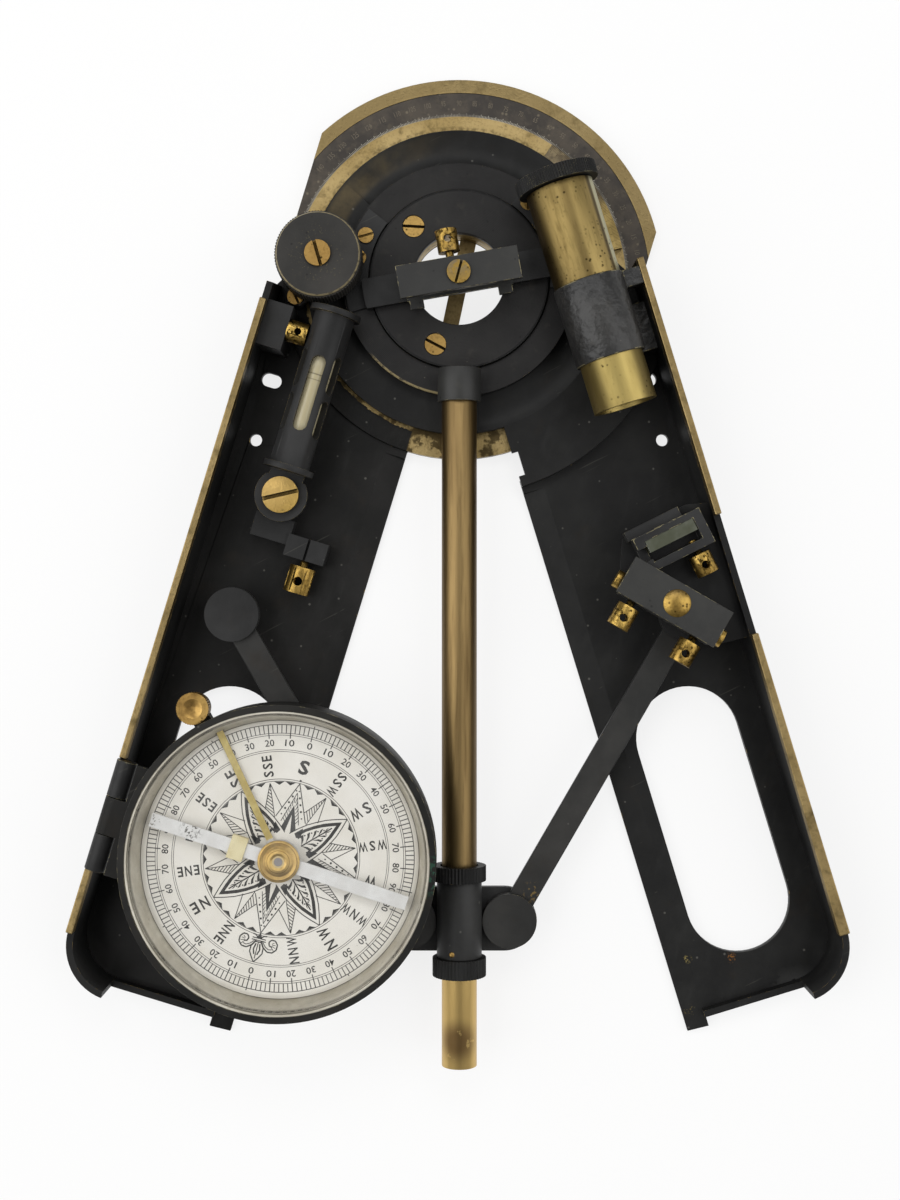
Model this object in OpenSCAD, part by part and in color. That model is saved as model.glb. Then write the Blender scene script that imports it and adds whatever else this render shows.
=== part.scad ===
// Folding surveying sextant. Two trays, the legs, open about one centre.
// A rod carried by the index ring always halves the angle between them,
// held there by a slider and two links. The legs carry a graduated limb
// and vernier, a telescope, horizon mirrors, a level and a hinged compass.
// The origin is the main pivot axis at the underside. -Y points down the
// rod to the tips of the legs, and +Z is towards the user.

/* [Legs] */
// Half of the angle between the inner edges of the legs, as shown
half_open = 17; // [15:0.5:24]
// Length of the inner edge of a leg, from the pivot centre
leg_len = 194.5; // [186:0.5:206]
// Width of the left leg
left_w = 43.5; // [42.5:0.1:46]
// Width of the right leg
right_w = 42.7; // [42:0.1:45]
// Thickness of a leg's floor
floor_t = 2; // [1.6:0.1:2.4]
// Height of the top of the side walls
wall_h = 17; // [15:0.5:19]
// Thickness of a side wall
wall_t = 1.6; // [1.2:0.1:2]
// Height of the top of the low wall across a leg's tip
tip_wall_h = 5; // [4:0.5:8]
// Height of the brass rim on a side wall
rim_h = 3; // [2:0.5:4]
// Width of the levelled strip along the inner edge of a leg
strip_w = 5.5; // [4.5:0.5:6.5]
// How far the strip runs on past the end wall
strip_over = 3.1; // [2:0.1:4]
// Radius of the outer corner of a leg
corner_r = 13.4; // [11:0.2:15]
// Gap from an inner edge to the centre line
edge_gap = 0.15; // [0.1:0.05:0.3]
// Width of the window in a leg's floor
window_w = 25.8; // [20:0.2:27]
// Length of the window in a leg's floor
window_len = 68; // [50:1:72]
// Floor left between the window and the end wall
window_end = 11.7; // [9:0.1:12]

/* [Limb and pivot] */
// Outer radius of the graduated limb
limb_r = 50.6; // [49.5:0.1:52]
// Inner radius of the dark scale band
scale_r = 41.5; // [41:0.1:43]
// Width of the dark scale band
scale_w = 5.9; // [4:0.1:6.5]
// Radius of the hub disc under the scale
hub_r = 43.5; // [43:0.1:45]
// Height of the top of the limb
limb_h = 2.8; // [2.4:0.1:3]
// Radius of the right leg's turning disc
disc_r = 37.5; // [36.5:0.1:38]
// Height of the brass ledge round the turning disc
ledge_t = 0.25; // [0.2:0.05:0.25]
// Thickness of the turning disc
disc_t = 1.8; // [1.4:0.1:2]
// Radius of the clear hole through the pivot
eye_r = 11.2; // [9:0.1:12]
// Radius of the pivot bush
bush_r = 20; // [18:0.1:20.2]
// Radius of the cap that holds the bearing down
cap_r = 21.9; // [21:0.1:22.2]
// Outer radius of the index ring
ring_r = 28.5; // [28.3:0.1:29.5]

/* [Bisecting rod and links] */
// Diameter of the rod
rod_d = 8.5; // [7:0.1:9]
// Distance of a link stud from the inner edge of its leg
stud_side = 28.9; // [27:0.1:31]
// Distance of a link stud along its leg from the pivot centre
stud_along = 94.6; // [92:0.1:97]
// Distance between the two holes of a link
link_len = 86; // [84:0.1:89]
// Width of a link
link_w = 6.5; // [5:0.1:7.5]
// Radius of the round ends of a link
link_end_r = 6.7; // [5.7:0.1:6.7]
// Wall of the slider's sleeve
sleeve_t = 0.8; // [0.6:0.05:0.85]
// Length of the sleeve between its two nuts
sleeve_len = 18.4; // [17:0.1:19]
// How far the sleeve sits above the middle of its ears
sleeve_up = 0.8; // [0:0.1:1.5]
// How far a knurled nut stands out round the sleeve
nut_t = 1.05; // [0.8:0.05:1.3]
// Height of the upper nut
upper_nut_h = 3.7; // [3:0.1:4]
// Height of the lower nut
lower_nut_h = 4.5; // [4:0.1:5]

/* [Knob and pinion] */
// Module of the teeth
tooth_m = 0.8; // [0.8:0.1:0.8]
// Teeth of a full ring with the rack's pitch
rack_teeth = 68; // [68:1:68]
// Teeth of the pinion
pinion_teeth = 17; // [17:1:17]
// Radius of the knob
knob_r = 10.45; // [9:0.05:10.6]
// Thickness of the knob
knob_h = 8.6; // [6:0.1:9]
// Direction of the pinion from the pivot centre, from +X
pinion_dir = 173.3; // [172:0.1:175]

/* [Telescope] */
// Distance of the telescope's axis from the inner edge
scope_side = 28.5; // [28:0.1:30]
// Height of the telescope's axis
scope_z = 18.2; // [18:0.1:19]
// Diameter of the upper tube
scope_d = 16.2; // [14:0.1:16.6]
// Diameter of the collar
collar_d = 17; // [16.8:0.1:17.6]
// Diameter of the lower tube
nose_d = 15.4; // [13:0.1:15.8]
// Diameter of the knurled eyepiece ring
eyering_d = 19.8; // [18:0.1:20.4]
// How far the eyepiece draws out to focus
focus_travel = 4; // [2:0.5:5]

/* [Level] */
// Diameter of the level's housing
level_d = 9.8; // [8.6:0.1:10.4]
// Length of the level's housing
level_len = 40.5; // [38:0.5:41]
// Height of the level's axis
level_z = 13.6; // [13.4:0.1:15]
// Diameter of the glass vial
vial_d = 6.6; // [5.6:0.1:7]

/* [Compass] */
// Outer radius of the compass case
case_r = 36.65; // [34:0.05:37]
// Height of the compass case
case_h = 12.5; // [11:0.5:14]
// Thickness of the case wall
case_t = 1.5; // [1.2:0.1:1.8]
// Width of the silvered ring between the printed dial and the case
bezel_w = 2.65; // [2.5:0.05:4]
// Distance of the compass centre along the leg
case_along = 145.4; // [143:0.1:148]
// Distance of the hinge axis from the outer face of the leg's wall
hinge_inset = 2.3; // [1.9:0.1:2.6]
// Distance of the compass centre from the hinge axis
case_reach = 41.7; // [41:0.1:44]
// How far the hinge's tongue runs in under the case
tongue_seat = 2.95; // [2:0.05:4]
// Diameter of the hinge barrel
hinge_d = 5; // [4:0.1:5.4]
// Length of the hinge
hinge_len = 27; // [20:1:30]
// How far each end of the needle stops short of the dial's edge
needle_short = 1.2; // [1:0.1:5]

/* [Clearances] */
// Radial clearance of a turning fit
turn_gap = 0.06; // [0.04:0.01:0.1]
// Gap between faces that pass each other
run_gap = 0.3; // [0.2:0.05:0.4]
// Clearance between the round end of a link and the slider's sleeve
sleeve_gap = 0.05; // [0.05:0.05:0.3]
// Radial clearance of the slider on the rod
slide_gap = 0.4; // [0.35:0.05:0.5]
// Radial clearance of the right link on its ear
ear_gap = 0.6; // [0.5:0.05:0.8]

/* [Hidden] */
$fn = 64;

black = "#2b2b2b";
grey = "#3d3d3d";
brass = "#b29a5c";
bright = "#c08a3a";
floor_len = leg_len - strip_over;
disc_z = limb_h + 0.4;
disc_top = disc_z + disc_t;
joggle_r = limb_r + 0.6;
joggle_t = 1.6;
wall_top_along = 13.4;
ring_z = disc_top + 0.2;
rack_h = 1.7;
cove_r = 9.6;
ring_top = 7.9;
rod_z = ring_top + rod_d / 2 + 0.05;
sleeve_d = rod_d + 2 * (slide_gap + sleeve_t);
ear_side = sleeve_d / 2 + link_end_r + sleeve_gap;
nut_d = sleeve_d + 2 * nut_t;
bush_top = 7;
cap_t = 2;
cap_top = bush_top + cap_t;
bridge_z = cap_top + run_gap;
bridge_w = 7.2;
mirror_tilt = 9.9;
mirror_len = 29.2;
mirror_top = 22;
ear_z = 6.8;
ear_t = 2;
ear_r = 7.8;
link_z = ear_z + ear_t + 0.1;
link_t = 1.8;
link_cap_r = 6.6;
link_cap_z = link_z + link_t + 0.1;
link_cap_t = 1.2;
link_pin_r = 2;
pinion_r = tooth_m * pinion_teeth / 2;
rack_r = tooth_m * rack_teeth / 2;
pinion_at = pinion_r + rack_r;
arbor_r = 1.5;
cock_z = ring_z + rack_h + 0.4;
cock_t = 1.7;
knob_z = 11;
level_side = 25.8;
level_start = 17;
level_flange_d = 12.4;
horizon_shelf_z = link_cap_z + link_cap_t + run_gap;
horizon_shelf_t = 1.6;
hinge_z = wall_h + rim_h;
case_z = hinge_z + 0.5;
case_inner = case_r - case_t;
tongue_len = case_reach - case_r + tongue_seat;
dial_r = case_inner - bezel_w;
needle_len = 2 * (dial_r - needle_short);
hinge_side = left_w - hinge_inset;
case_side = hinge_side - case_reach;
case_floor_t = 1.2;
dial_z = case_z + 5.5;
glass_z = case_z + case_h - 1.8;
glass_t = 1;
needle_z = dial_z + 2;
needle_dir = -18.2;
lifter_dir = 115;
lifter_screw_dir = 119;
lifter_screw_at = case_r + 4;

// Radius, angle and slider position of the bisecting linkage
stud_r = norm([stud_side, stud_along]);
stud_dir = atan(stud_side / stud_along);
function link_dir(half) = asin((stud_r * sin(half + stud_dir) - ear_side) / link_len);
function slider_at(half) = stud_r * cos(half + stud_dir) + link_len * cos(link_dir(half));
slider_y = slider_at(half_open);
slider_low = sleeve_len / 2 - sleeve_up + lower_nut_h;
rod_len = slider_at(0.8) + slider_low;

// Places a child in the frame of a leg: side is measured from its inner
// edge outwards and along from the pivot centre towards its tip
module at_left(side, along, z = 0)
  rotate([0, 0, -half_open]) translate([-side, -along, z]) children();
module at_right(side, along, z = 0)
  rotate([0, 0, half_open]) translate([side, -along, z]) children();
module left_side() rotate([0, 0, -half_open]) mirror([1, 0, 0]) children();
module right_side() rotate([0, 0, half_open]) children();

// A pie slice from one direction to another, wide enough for radius r
module slice(from, to, r) {
  step = (to - from) / 6;
  polygon(concat([[0, 0]], [for (i = [0:6]) 1.3 * r * [cos(from + i * step), sin(from + i * step)]]));
}

module ring_sector(r_in, r_out, from, to)
  intersection() {
    difference() {
      circle(r_out);
      circle(r_in);
    }
    slice(from, to, r_out);
  }

module tube(r_out, r_in, h)
  linear_extrude(h) difference() {
    circle(r_out);
    circle(r_in);
  }

// A disc with a knurled edge of n ridges
module knurled(r, h, n, depth = 0.25)
  linear_extrude(h)
    polygon([for (i = [0:2 * n - 1]) (i % 2 == 0 ? r : r - depth) * [cos(180 * i / n), sin(180 * i / n)]]);

// A slotted screw head that stands on z = 0, with its shank below
module slotted_screw(head_r, head_h, shank_r, shank_l, turn = 0, slot = 0.7) {
  difference() {
    cylinder(h = head_h, r = head_r);
    rotate([0, 0, turn]) translate([-head_r - 1, -slot / 2, head_h - min(0.9, 0.8 * head_h)])
      cube([2 * head_r + 2, slot, head_h]);
  }
  translate([0, 0, -shank_l]) cylinder(h = shank_l, r = shank_r);
}

// A capstan head lying along +X with two crossed tommy-bar holes
module capstan(d, len, hole) {
  rotate([0, 90, 0]) difference() {
    cylinder(h = len, d = d);
    for (a = [0, 90]) rotate([90, 0, a]) translate([0, len * 0.55, -d]) cylinder(h = 2 * d, d = hole);
  }
}

// An involute gear outline: each flank is three points of the involute
function inv_point(rb, t) = rb * [cos(t) + t * PI / 180 * sin(t), sin(t) - t * PI / 180 * cos(t)];
function turned(p, a) = [p[0] * cos(a) - p[1] * sin(a), p[0] * sin(a) + p[1] * cos(a)];
function inv_t(rb, r) = sqrt(max(0, pow(r / rb, 2) - 1)) * 180 / PI;
function inv_dir(rb, r) = inv_t(rb, r) - atan(inv_t(rb, r) * PI / 180);
module gear_outline(teeth, slack, from = 0, count = 0) {
  r = tooth_m * teeth / 2;
  rb = r * cos(20);
  tip = r + 0.85 * tooth_m;
  root = r - 1.15 * tooth_m;
  half = 90 / teeth - slack / r * 180 / PI + inv_dir(rb, r);
  low = max(rb, root);
  radii = [low, (low + tip) / 2, tip];
  n = count == 0 ? teeth : count;
  polygon([for (k = [0:n - 1]) let (mid = from + k * 360 / teeth)
    each concat(
      k == 0 && count > 0 ? [[0, 0]] : [],
      [turned([root, 0], mid - half)],
      [for (q = radii) turned(inv_point(rb, inv_t(rb, q)), mid - half)],
      [for (j = [2:-1:0]) let (p = inv_point(rb, inv_t(rb, radii[j]))) turned([p[0], -p[1]], mid + half)],
      [turned([root, 0], mid + half)])]);
}

// Floor outline of a leg, with the inner edge along x = 0 and the tip at -y
module leg_outline(w) {
  polygon([[edge_gap, 0], [edge_gap, -leg_len], [strip_w, -leg_len], [strip_w, -floor_len],
           [w - corner_r, -floor_len], [w, corner_r - floor_len], [w, -wall_top_along],
           [w - 8, 0]]);
  translate([w - corner_r, corner_r - floor_len]) circle(corner_r);
}

module leg_window() {
  middle = (strip_w + 3.1 + window_w / 2);
  low = floor_len - window_end - window_w / 2;
  for (y = [low, low - window_len + window_w]) translate([middle, -y]) circle(d = window_w);
  translate([middle - window_w / 2, -low]) square([window_w, window_len - window_w]);
}

// Two adjusting holes in the floor near the outer wall
module floor_holes() {
  for (x = [-0.8, 0.8]) translate([37.6 + x, -36.5]) circle(1.7);
  translate([36.8, -38.2]) square([1.6, 3.4]);
  translate([37, -51.8]) circle(1.5);
}

// The wedge that bevels the inner strip down to its edge
module strip_bevel()
  translate([0, -hub_r - 2, 0]) rotate([90, 0, 0]) linear_extrude(leg_len)
    polygon([[-1, floor_t * 0.5], [edge_gap, floor_t * 0.5], [strip_w, floor_t], [strip_w, floor_t + 1],
             [-1, floor_t + 1]]);

// Plan of the side wall, round the corner, and of the end wall
module side_plan(w, t, from, to) {
  y_end = min(to, floor_len - corner_r);
  translate([w - t, -y_end]) square([t, y_end - from]);
}
module corner_plan(w, t)
  translate([w - corner_r, corner_r - floor_len]) intersection() {
    difference() {
      circle(corner_r);
      circle(corner_r - t);
    }
    translate([1.2, -corner_r]) square(corner_r);
  }
module end_plan(w)
  translate([strip_w - 0.5, -floor_len]) square([w - corner_r - strip_w + 1.8, wall_t]);

// Left leg, which carries everything that doesn't swing

module left_leg_plate() color(black) {
  left_side() difference() {
    linear_extrude(floor_t) difference() {
      union() {
        leg_outline(left_w);
        circle(hub_r);
      }
      circle(eye_r);
      leg_window();
      floor_holes();
    }
    translate([0, 0, 1.2]) cylinder(h = floor_t, r = hub_r);
    strip_bevel();
  }
}

module left_leg_wall() color(black) left_side() {
  translate([0, 0, floor_t]) linear_extrude(wall_h - floor_t) {
    side_plan(left_w, wall_t, wall_top_along + 2, leg_len);
    corner_plan(left_w, wall_t);
  }
  translate([0, 0, floor_t]) linear_extrude(tip_wall_h - floor_t) end_plan(left_w);
  translate([left_w, -wall_top_along - 2, floor_t]) rotate([0, -90, 0]) linear_extrude(wall_t)
    polygon([[0, 0], [wall_h - floor_t, 0], [0, 2]]);
}

module left_leg_rim() color(brass) left_side() translate([0, 0, wall_h]) linear_extrude(rim_h) {
  side_plan(left_w, wall_t, 20, hinge_along - hinge_len / 2 - 0.2);
  side_plan(left_w, wall_t, hinge_along + hinge_len / 2 + 0.2, leg_len);
}

module limb_plan()
  intersection() {
    ring_sector(hub_r - 1, limb_r, -8, 158);
    rotate([0, 0, -half_open]) translate([-left_w, -limb_r]) square([2 * left_w - 0.4, 3 * limb_r]);
  }

module limb_plate() color(brass) difference() {
  union() {
    translate([0, 0, 1.2]) cylinder(h = limb_h - 1.2, r = hub_r - 0.03);
    translate([0, 0, 1.2]) linear_extrude(limb_h - 1.2) limb_plan();
    linear_extrude(limb_h) difference() {
      limb_plan();
      circle(hub_r + 0.03);
    }
    translate([0, 0, limb_h - 0.5]) linear_extrude(0.5 + ledge_t)
      ring_sector(disc_r + 0.4, scale_r - 0.3, 14, 157);
  }
  translate([0, 0, -1]) cylinder(h = limb_h + 2, r = eye_r);
  translate([0, 0, limb_h - 0.6]) linear_extrude(1) scale_plan();
  for (a = [131, 250, 10]) rotate([0, 0, a]) translate([17, 0, 1.2]) cylinder(h = limb_h, r = 1.1);
  cock_posts() translate([0, 0, limb_h - 1]) cylinder(h = 2, r = 0.8);
}

module scale_plan()
  intersection() {
    ring_sector(scale_r, scale_r + scale_w, -7, 157);
    rotate([0, 0, -half_open]) translate([-left_w, -limb_r]) square([2 * left_w - 0.4, 3 * limb_r]);
  }

module limb_scale() color("#4a4844")
  translate([0, 0, limb_h - 0.6]) linear_extrude(0.4) scale_plan();

module pivot_bush() color(brass) difference() {
  translate([0, 0, limb_h]) tube(bush_r, eye_r, bush_top - limb_h);
  for (a = [131, 250, 10]) rotate([0, 0, a]) translate([17, 0, limb_h - 1])
    cylinder(h = bush_top, r = 1.1);
}

module pivot_cap() color(grey) difference() {
  translate([0, 0, bush_top]) tube(cap_r, eye_r, cap_t);
  for (a = [131, 250, 10]) rotate([0, 0, a]) translate([17, 0, bush_top - 1]) {
    cylinder(h = cap_t + 2, r = 1.1);
    translate([0, 0, 1 + cap_t * 0.4]) cylinder(h = cap_t, r = 2.7);
  }
}

// Three screws of the cap and two of the pinion's cock
module hub_screws() color(bright) {
  turns = [87, 62, 40];
  dirs = [131, 250, 10];
  for (i = [0:2]) rotate([0, 0, dirs[i]]) translate([17, 0, bush_top + cap_t * 0.4])
    slotted_screw(2.6, cap_t * 0.6 - 0.1, 1.1, bush_top + cap_t * 0.4 - 1.2, turns[i] - dirs[i] + 90);
  cock_posts() translate([0, 0, cock_z + cock_t])
    slotted_screw(2, 0.8, 0.8, cock_z + cock_t - limb_h + 1, -65 - pinion_dir, 0.6);
}

module station_bar() color(brass) linear_extrude(1.2) intersection() {
  circle(eye_r - 0.02);
  rotate([0, 0, 78]) square([3 * eye_r, 4], center = true);
}

module cock_posts()
  for (t = [-9, 9]) rotate([0, 0, pinion_dir]) translate([39.2, t, 0]) children();

// The cock is an arched bracket that holds the pinion's arbor over the rack
module pinion_cock() color(black) difference() {
  union() {
    cock_posts() translate([0, 0, limb_h]) cylinder(h = cock_z - limb_h + 0.5, r = 2);
    rotate([0, 0, pinion_dir]) translate([0, 0, cock_z]) linear_extrude(cock_t) {
      polygon([[30, -4], [30, 4], [38, 11.1], [41.2, 10.4], [41.2, -10.4], [38, -11.1]]);
    }
  }
  rotate([0, 0, pinion_dir]) translate([pinion_at, 0, cock_z - 1]) cylinder(h = 5, r = arbor_r + turn_gap);
  cock_posts() cylinder(h = 20, r = 0.8);
}

// Level

module level_housing() color(black) at_left(level_side, level_start, level_z) rotate([90, 0, 0]) {
  difference() {
    union() {
      cylinder(h = level_len, d = level_d);
      cylinder(h = 1.4, d = level_flange_d);
      translate([0, 0, level_len - 1.4]) cylinder(h = 1.4, d = level_flange_d);
    }
    translate([0, 0, 2]) cylinder(h = level_len - 4, d = vial_d + 0.1);
    translate([0, 0, 12]) level_slot(3.4, 18.5);
    for (s = [-1, 1]) rotate([0, 0, s * 62]) {
      translate([0, 0, 11]) level_slot(3, 9.4);
      translate([0, 0, 22]) level_slot(3, 9.4);
    }
  }
  translate([-4.2, 1.6 - level_d / 2, level_len]) cube([8.4, 2.4, 1.8]);
  translate([0, 1.6 - level_d / 2, level_len + 5.9]) rotate([-90, 0, 0]) difference() {
    cylinder(h = 2.4, r = 6.4);
    translate([0, 0, -1]) cylinder(h = 5, r = 1.6);
    translate([-8, 4.2, -1]) cube([16, 4, 5]);
  }
}

// A round-ended slot in the upper wall of the level's housing
module level_slot(w, len) rotate([-90, 0, 0]) {
  for (y = [-w / 2, w / 2 - len]) translate([0, y, 0]) cylinder(h = level_d, d = w);
  translate([-w / 2, w / 2 - len, 0]) cube([w, len - w, level_d]);
}

module level_vial() color("#c9bda0") at_left(level_side, level_start + 2.3, level_z)
  rotate([90, 0, 0]) cylinder(h = level_len - 4.6, d = vial_d);

lug_along = level_start + level_len + 5.9;
lug_z = level_z + 1.6 - level_d / 2;
// The lever's screw stays under the sweep of the left link
lever_at = [16.2, 78.6, floor_t + 3.4];

module level_screws() {
  color(bright) at_left(level_side, lug_along, lug_z + 2.4)
    slotted_screw(4.4, 1.9, 1.6, lug_z - 4, 30, 1);
  color(bright) at_left(left_w - wall_t - 6.2, 24.8, level_z) {
    translate([-4, 0, 0]) rotate([0, 90, 0]) cylinder(h = 4, d = 2);
    capstan(5.4, left_w - wall_t - 6.2 - level_side - level_d / 2 - 0.05, 1.7);
  }
  color(bright) at_left(lever_at[0], lever_at[1], lever_at[2]) rotate([0, 0, -90]) {
    capstan(6.4, 6.6, 2.2);
    translate([-5, 0, 0]) rotate([0, 90, 0]) cylinder(h = 5, d = 2);
  }
}

// Upper steady block at the wall, post under the lug, and the slotted lever
module level_brackets() color(black) {
  difference() {
    at_left(left_w - wall_t, 19.3, limb_h) translate([0, -11, 0]) cube([6.2, 11, 13]);
    at_left(left_w - wall_t - 2.2, 24.8, level_z) rotate([0, 90, 0]) cylinder(h = 6, d = 2);
  }
  difference() {
    at_left(level_side, lug_along, floor_t) cylinder(h = lug_z - floor_t, r = 5);
    at_left(level_side, lug_along, floor_t + 2) cylinder(h = lug_z, r = 1.6);
  }
  difference() {
    at_left(31, lug_along + 5.1, floor_t) translate([0, -6, 0]) cube([9.8, 6, 5.4]);
    at_left(level_side, lug_along, floor_t - 1) cylinder(h = 12, r = 5.05);
  }
  difference() {
    at_left(21.6, 71.6, floor_t) translate([0, -5.4, 0]) cube([10.2, 5.4, 6.6]);
    at_left(16.6, 78, floor_t + 5) cube([0.6, 12, 6]);
    at_left(lever_at[0], lever_at[1], lever_at[2]) rotate([90, 0, 0]) translate([0, 0, -5.2])
      cylinder(h = 8, d = 2);
  }
}

// Link studs, one on each leg, with a wide cap over the link

module link_stud() {
  cylinder(h = link_z - floor_t - 0.1, r = 5);
  cylinder(h = link_cap_z - floor_t, r = link_pin_r);
  translate([0, 0, link_cap_z - floor_t]) cylinder(h = link_cap_t, r = link_cap_r);
}

module left_link_stud() color(black) at_left(stud_side, stud_along, floor_t) link_stud();
module right_link_stud() color(black) at_right(stud_side, stud_along, floor_t) link_stud();

// Compass hinge: two fixed knuckles on the wall, one on the case

knuckle_len = hinge_len / 3;
hinge_along = case_along + 2.8;

module hinge_fixed_leaf() color(black)
  for (end = [-knuckle_len / 2 - 0.1, hinge_len / 2])
    at_left(hinge_side, hinge_along + end, 0) difference() {
      union() {
        translate([0, 0, hinge_z]) rotate([-90, 0, 0]) cylinder(h = knuckle_len - 0.1, d = hinge_d);
        translate([hinge_side - left_w, 0, wall_h]) cube([left_w - hinge_side, knuckle_len - 0.1, rim_h]);
      }
      translate([0, -1, hinge_z]) rotate([-90, 0, 0]) cylinder(h = hinge_len, d = 2);
    }

module hinge_pin() color(brass)
  at_left(hinge_side, hinge_along + hinge_len / 2, hinge_z) rotate([-90, 0, 0])
    cylinder(h = hinge_len, d = 2);

// Right leg, which swings

// The turned hollow in the disc's top, between the ring and a narrow lip
module disc_cove() rotate([0, 0, -110]) rotate_extrude(angle = 232)
  difference() {
    translate([(ring_r + disc_r) / 2, disc_top + cove_r - 1]) circle(cove_r, $fn = 96);
    translate([0, disc_top + 0.5]) square([2 * disc_r, 3 * cove_r]);
  }

module right_leg_plate() color(black) right_side() difference() {
  union() {
    linear_extrude(floor_t) difference() {
      leg_outline(right_w);
      circle(joggle_r);
      leg_window();
      floor_holes();
    }
    linear_extrude(disc_top) intersection() {
      leg_outline(right_w);
      difference() {
        circle(joggle_r + joggle_t);
        circle(joggle_r);
      }
    }
    translate([0, 0, disc_z]) linear_extrude(disc_t) {
      circle(disc_r);
      intersection() {
        leg_outline(right_w);
        circle(joggle_r + joggle_t / 2);
      }
    }
  }
  translate([0, 0, disc_z - 1]) cylinder(h = disc_t + 2, r = bush_r + turn_gap);
  disc_cove();
  translate([0, -9, 0]) strip_bevel();
  translate([0, -50.2, disc_z - 1]) cube([1.7, 6, 5]);
}

module right_leg_wall() color(black) right_side() {
  difference() {
    right_wall_run();
    cylinder(h = disc_top, r = joggle_r + joggle_t);
  }
  translate([0, 0, floor_t]) linear_extrude(tip_wall_h - floor_t) end_plan(right_w);
}

module right_wall_run()
  translate([0, 0, floor_t]) linear_extrude(wall_h - floor_t) {
    side_plan(right_w, wall_t, 9.7, leg_len);
    corner_plan(right_w, wall_t);
  }

// The rim is cut away beside the horizon mirrors, and widens to the tip
module right_leg_rim() color(brass) right_side() translate([0, 0, wall_h]) linear_extrude(rim_h) {
  side_plan(right_w, wall_t, 9.7, 73.6);
  polygon([[right_w, -103.3], [right_w - wall_t, -103.3], [right_w - wall_t - 1, corner_r - floor_len],
           [right_w, corner_r - floor_len]]);
}

module vernier() color("#6b675c")
  translate([0, 0, disc_z]) linear_extrude(1.3) ring_sector(disc_r + 0.02, scale_r - 0.3, 12, 56);

// Telescope

scope_top = -15.6;
ring_h = 3.4;
upper_end = 11.5;
collar_end = 30.7;
nose_end = 42.4;

// Places a child on the telescope's axis, which then runs along +Z to the tip
module on_scope(along) at_right(scope_side, along, scope_z) rotate([90, 0, 0]) children();

module telescope_collar() color(grey) {
  difference() {
    union() {
      on_scope(upper_end) cylinder(h = collar_end - upper_end, d = collar_d);
      at_right(scope_side, upper_end + 4.2, scope_z - 2.6) cube([right_w - wall_t - scope_side, 4.2, 4.4]);
      at_right(scope_side, collar_end, disc_top) translate([-1, 0, 0])
        cube([right_w - wall_t - scope_side + 1, 12, scope_z - disc_top - 6]);
    }
    on_scope(0) cylinder(h = 60, d = nose_d);
  }
}

module telescope_tube() color(brass) {
  on_scope(scope_top + ring_h + run_gap)
    tube(scope_d / 2, nose_d / 2 - 1.2, upper_end - scope_top - ring_h - run_gap);
  on_scope(upper_end) tube(nose_d / 2, nose_d / 2 - 1.2, nose_end - upper_end);
  on_scope(nose_end - 5) tube(nose_d / 2 - 1.2, nose_d / 2 - 2.4, 0.9);
  on_scope(nose_end - 2) tube(nose_d / 2 - 1.2, nose_d / 2 - 2.4, 0.9);
}

module objective_lens() color("#b8c4c0")
  on_scope(nose_end - 4) cylinder(h = 2, r = nose_d / 2 - 1.2);

module draw_tube() color(brass)
  on_scope(scope_top + ring_h) translate([0, 0, -1.2])
    tube(nose_d / 2 - 1.2 - turn_gap, nose_d / 2 - 2.2, 18 + focus_travel);

module eyepiece_ring() color(black) on_scope(scope_top) difference() {
  knurled(eyering_d / 2, ring_h, 90, 0.2);
  translate([0, 0, -1]) cylinder(h = ring_h, r = 3);
  translate([0, 0, ring_h - 1.2]) cylinder(h = 2, r = nose_d / 2 - 1.2 - turn_gap);
}

module eye_lens() color("#b8c4c0")
  on_scope(scope_top + ring_h - 1.2) translate([0, 0, -0.6]) cylinder(h = 0.6, r = 3);

// Horizon glass and horizon mirror, carried over the link on a shelf

glass_at = [29.9, 76.5];
glass_turn = 9.5;
mirror_at = [25.6, 90.4];
mirror_turn = -47;
shelf_top = horizon_shelf_z + horizon_shelf_t;
box_len = 26.6;
box_w = 9.5;

module horizon_bracket() color(black) right_side() {
  translate([37, -104, floor_t]) cube([right_w - wall_t - 37, 32, horizon_shelf_z - floor_t]);
  translate([0, 0, horizon_shelf_z]) linear_extrude(horizon_shelf_t)
    polygon([[right_w - wall_t, -70], [right_w - wall_t, -104], [34, -103.5], [14, -85],
             [19, -72.5], [36, -69]]);
}

module on_glass() at_right(glass_at[0], glass_at[1], shelf_top) rotate([0, 0, glass_turn]) children();
module on_mirror() at_right(mirror_at[0], mirror_at[1], shelf_top) rotate([0, 0, mirror_turn]) children();

module horizon_glass_frame() color(black) on_glass() difference() {
  union() {
    translate([-8.75, -4.5, 0]) cube([17.5, 9, 6.4]);
    translate([-9.6, 4.5, 0]) cube([14.2, 2.4, 4.4]);
  }
  translate([-6.4, -2.4, 1]) cube([12.8, 5.3, 8]);
  translate([-10, -1.6, 3]) cube([4, 3.2, 5]);
  translate([4.3, -6, 3.2]) rotate([-90, 0, 0]) cylinder(h = 4, r = 1);
}

module horizon_glass() color("#6f7a68") on_glass() translate([-6.3, -0.1, 1]) cube([12.6, 3, 5.2]);

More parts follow.
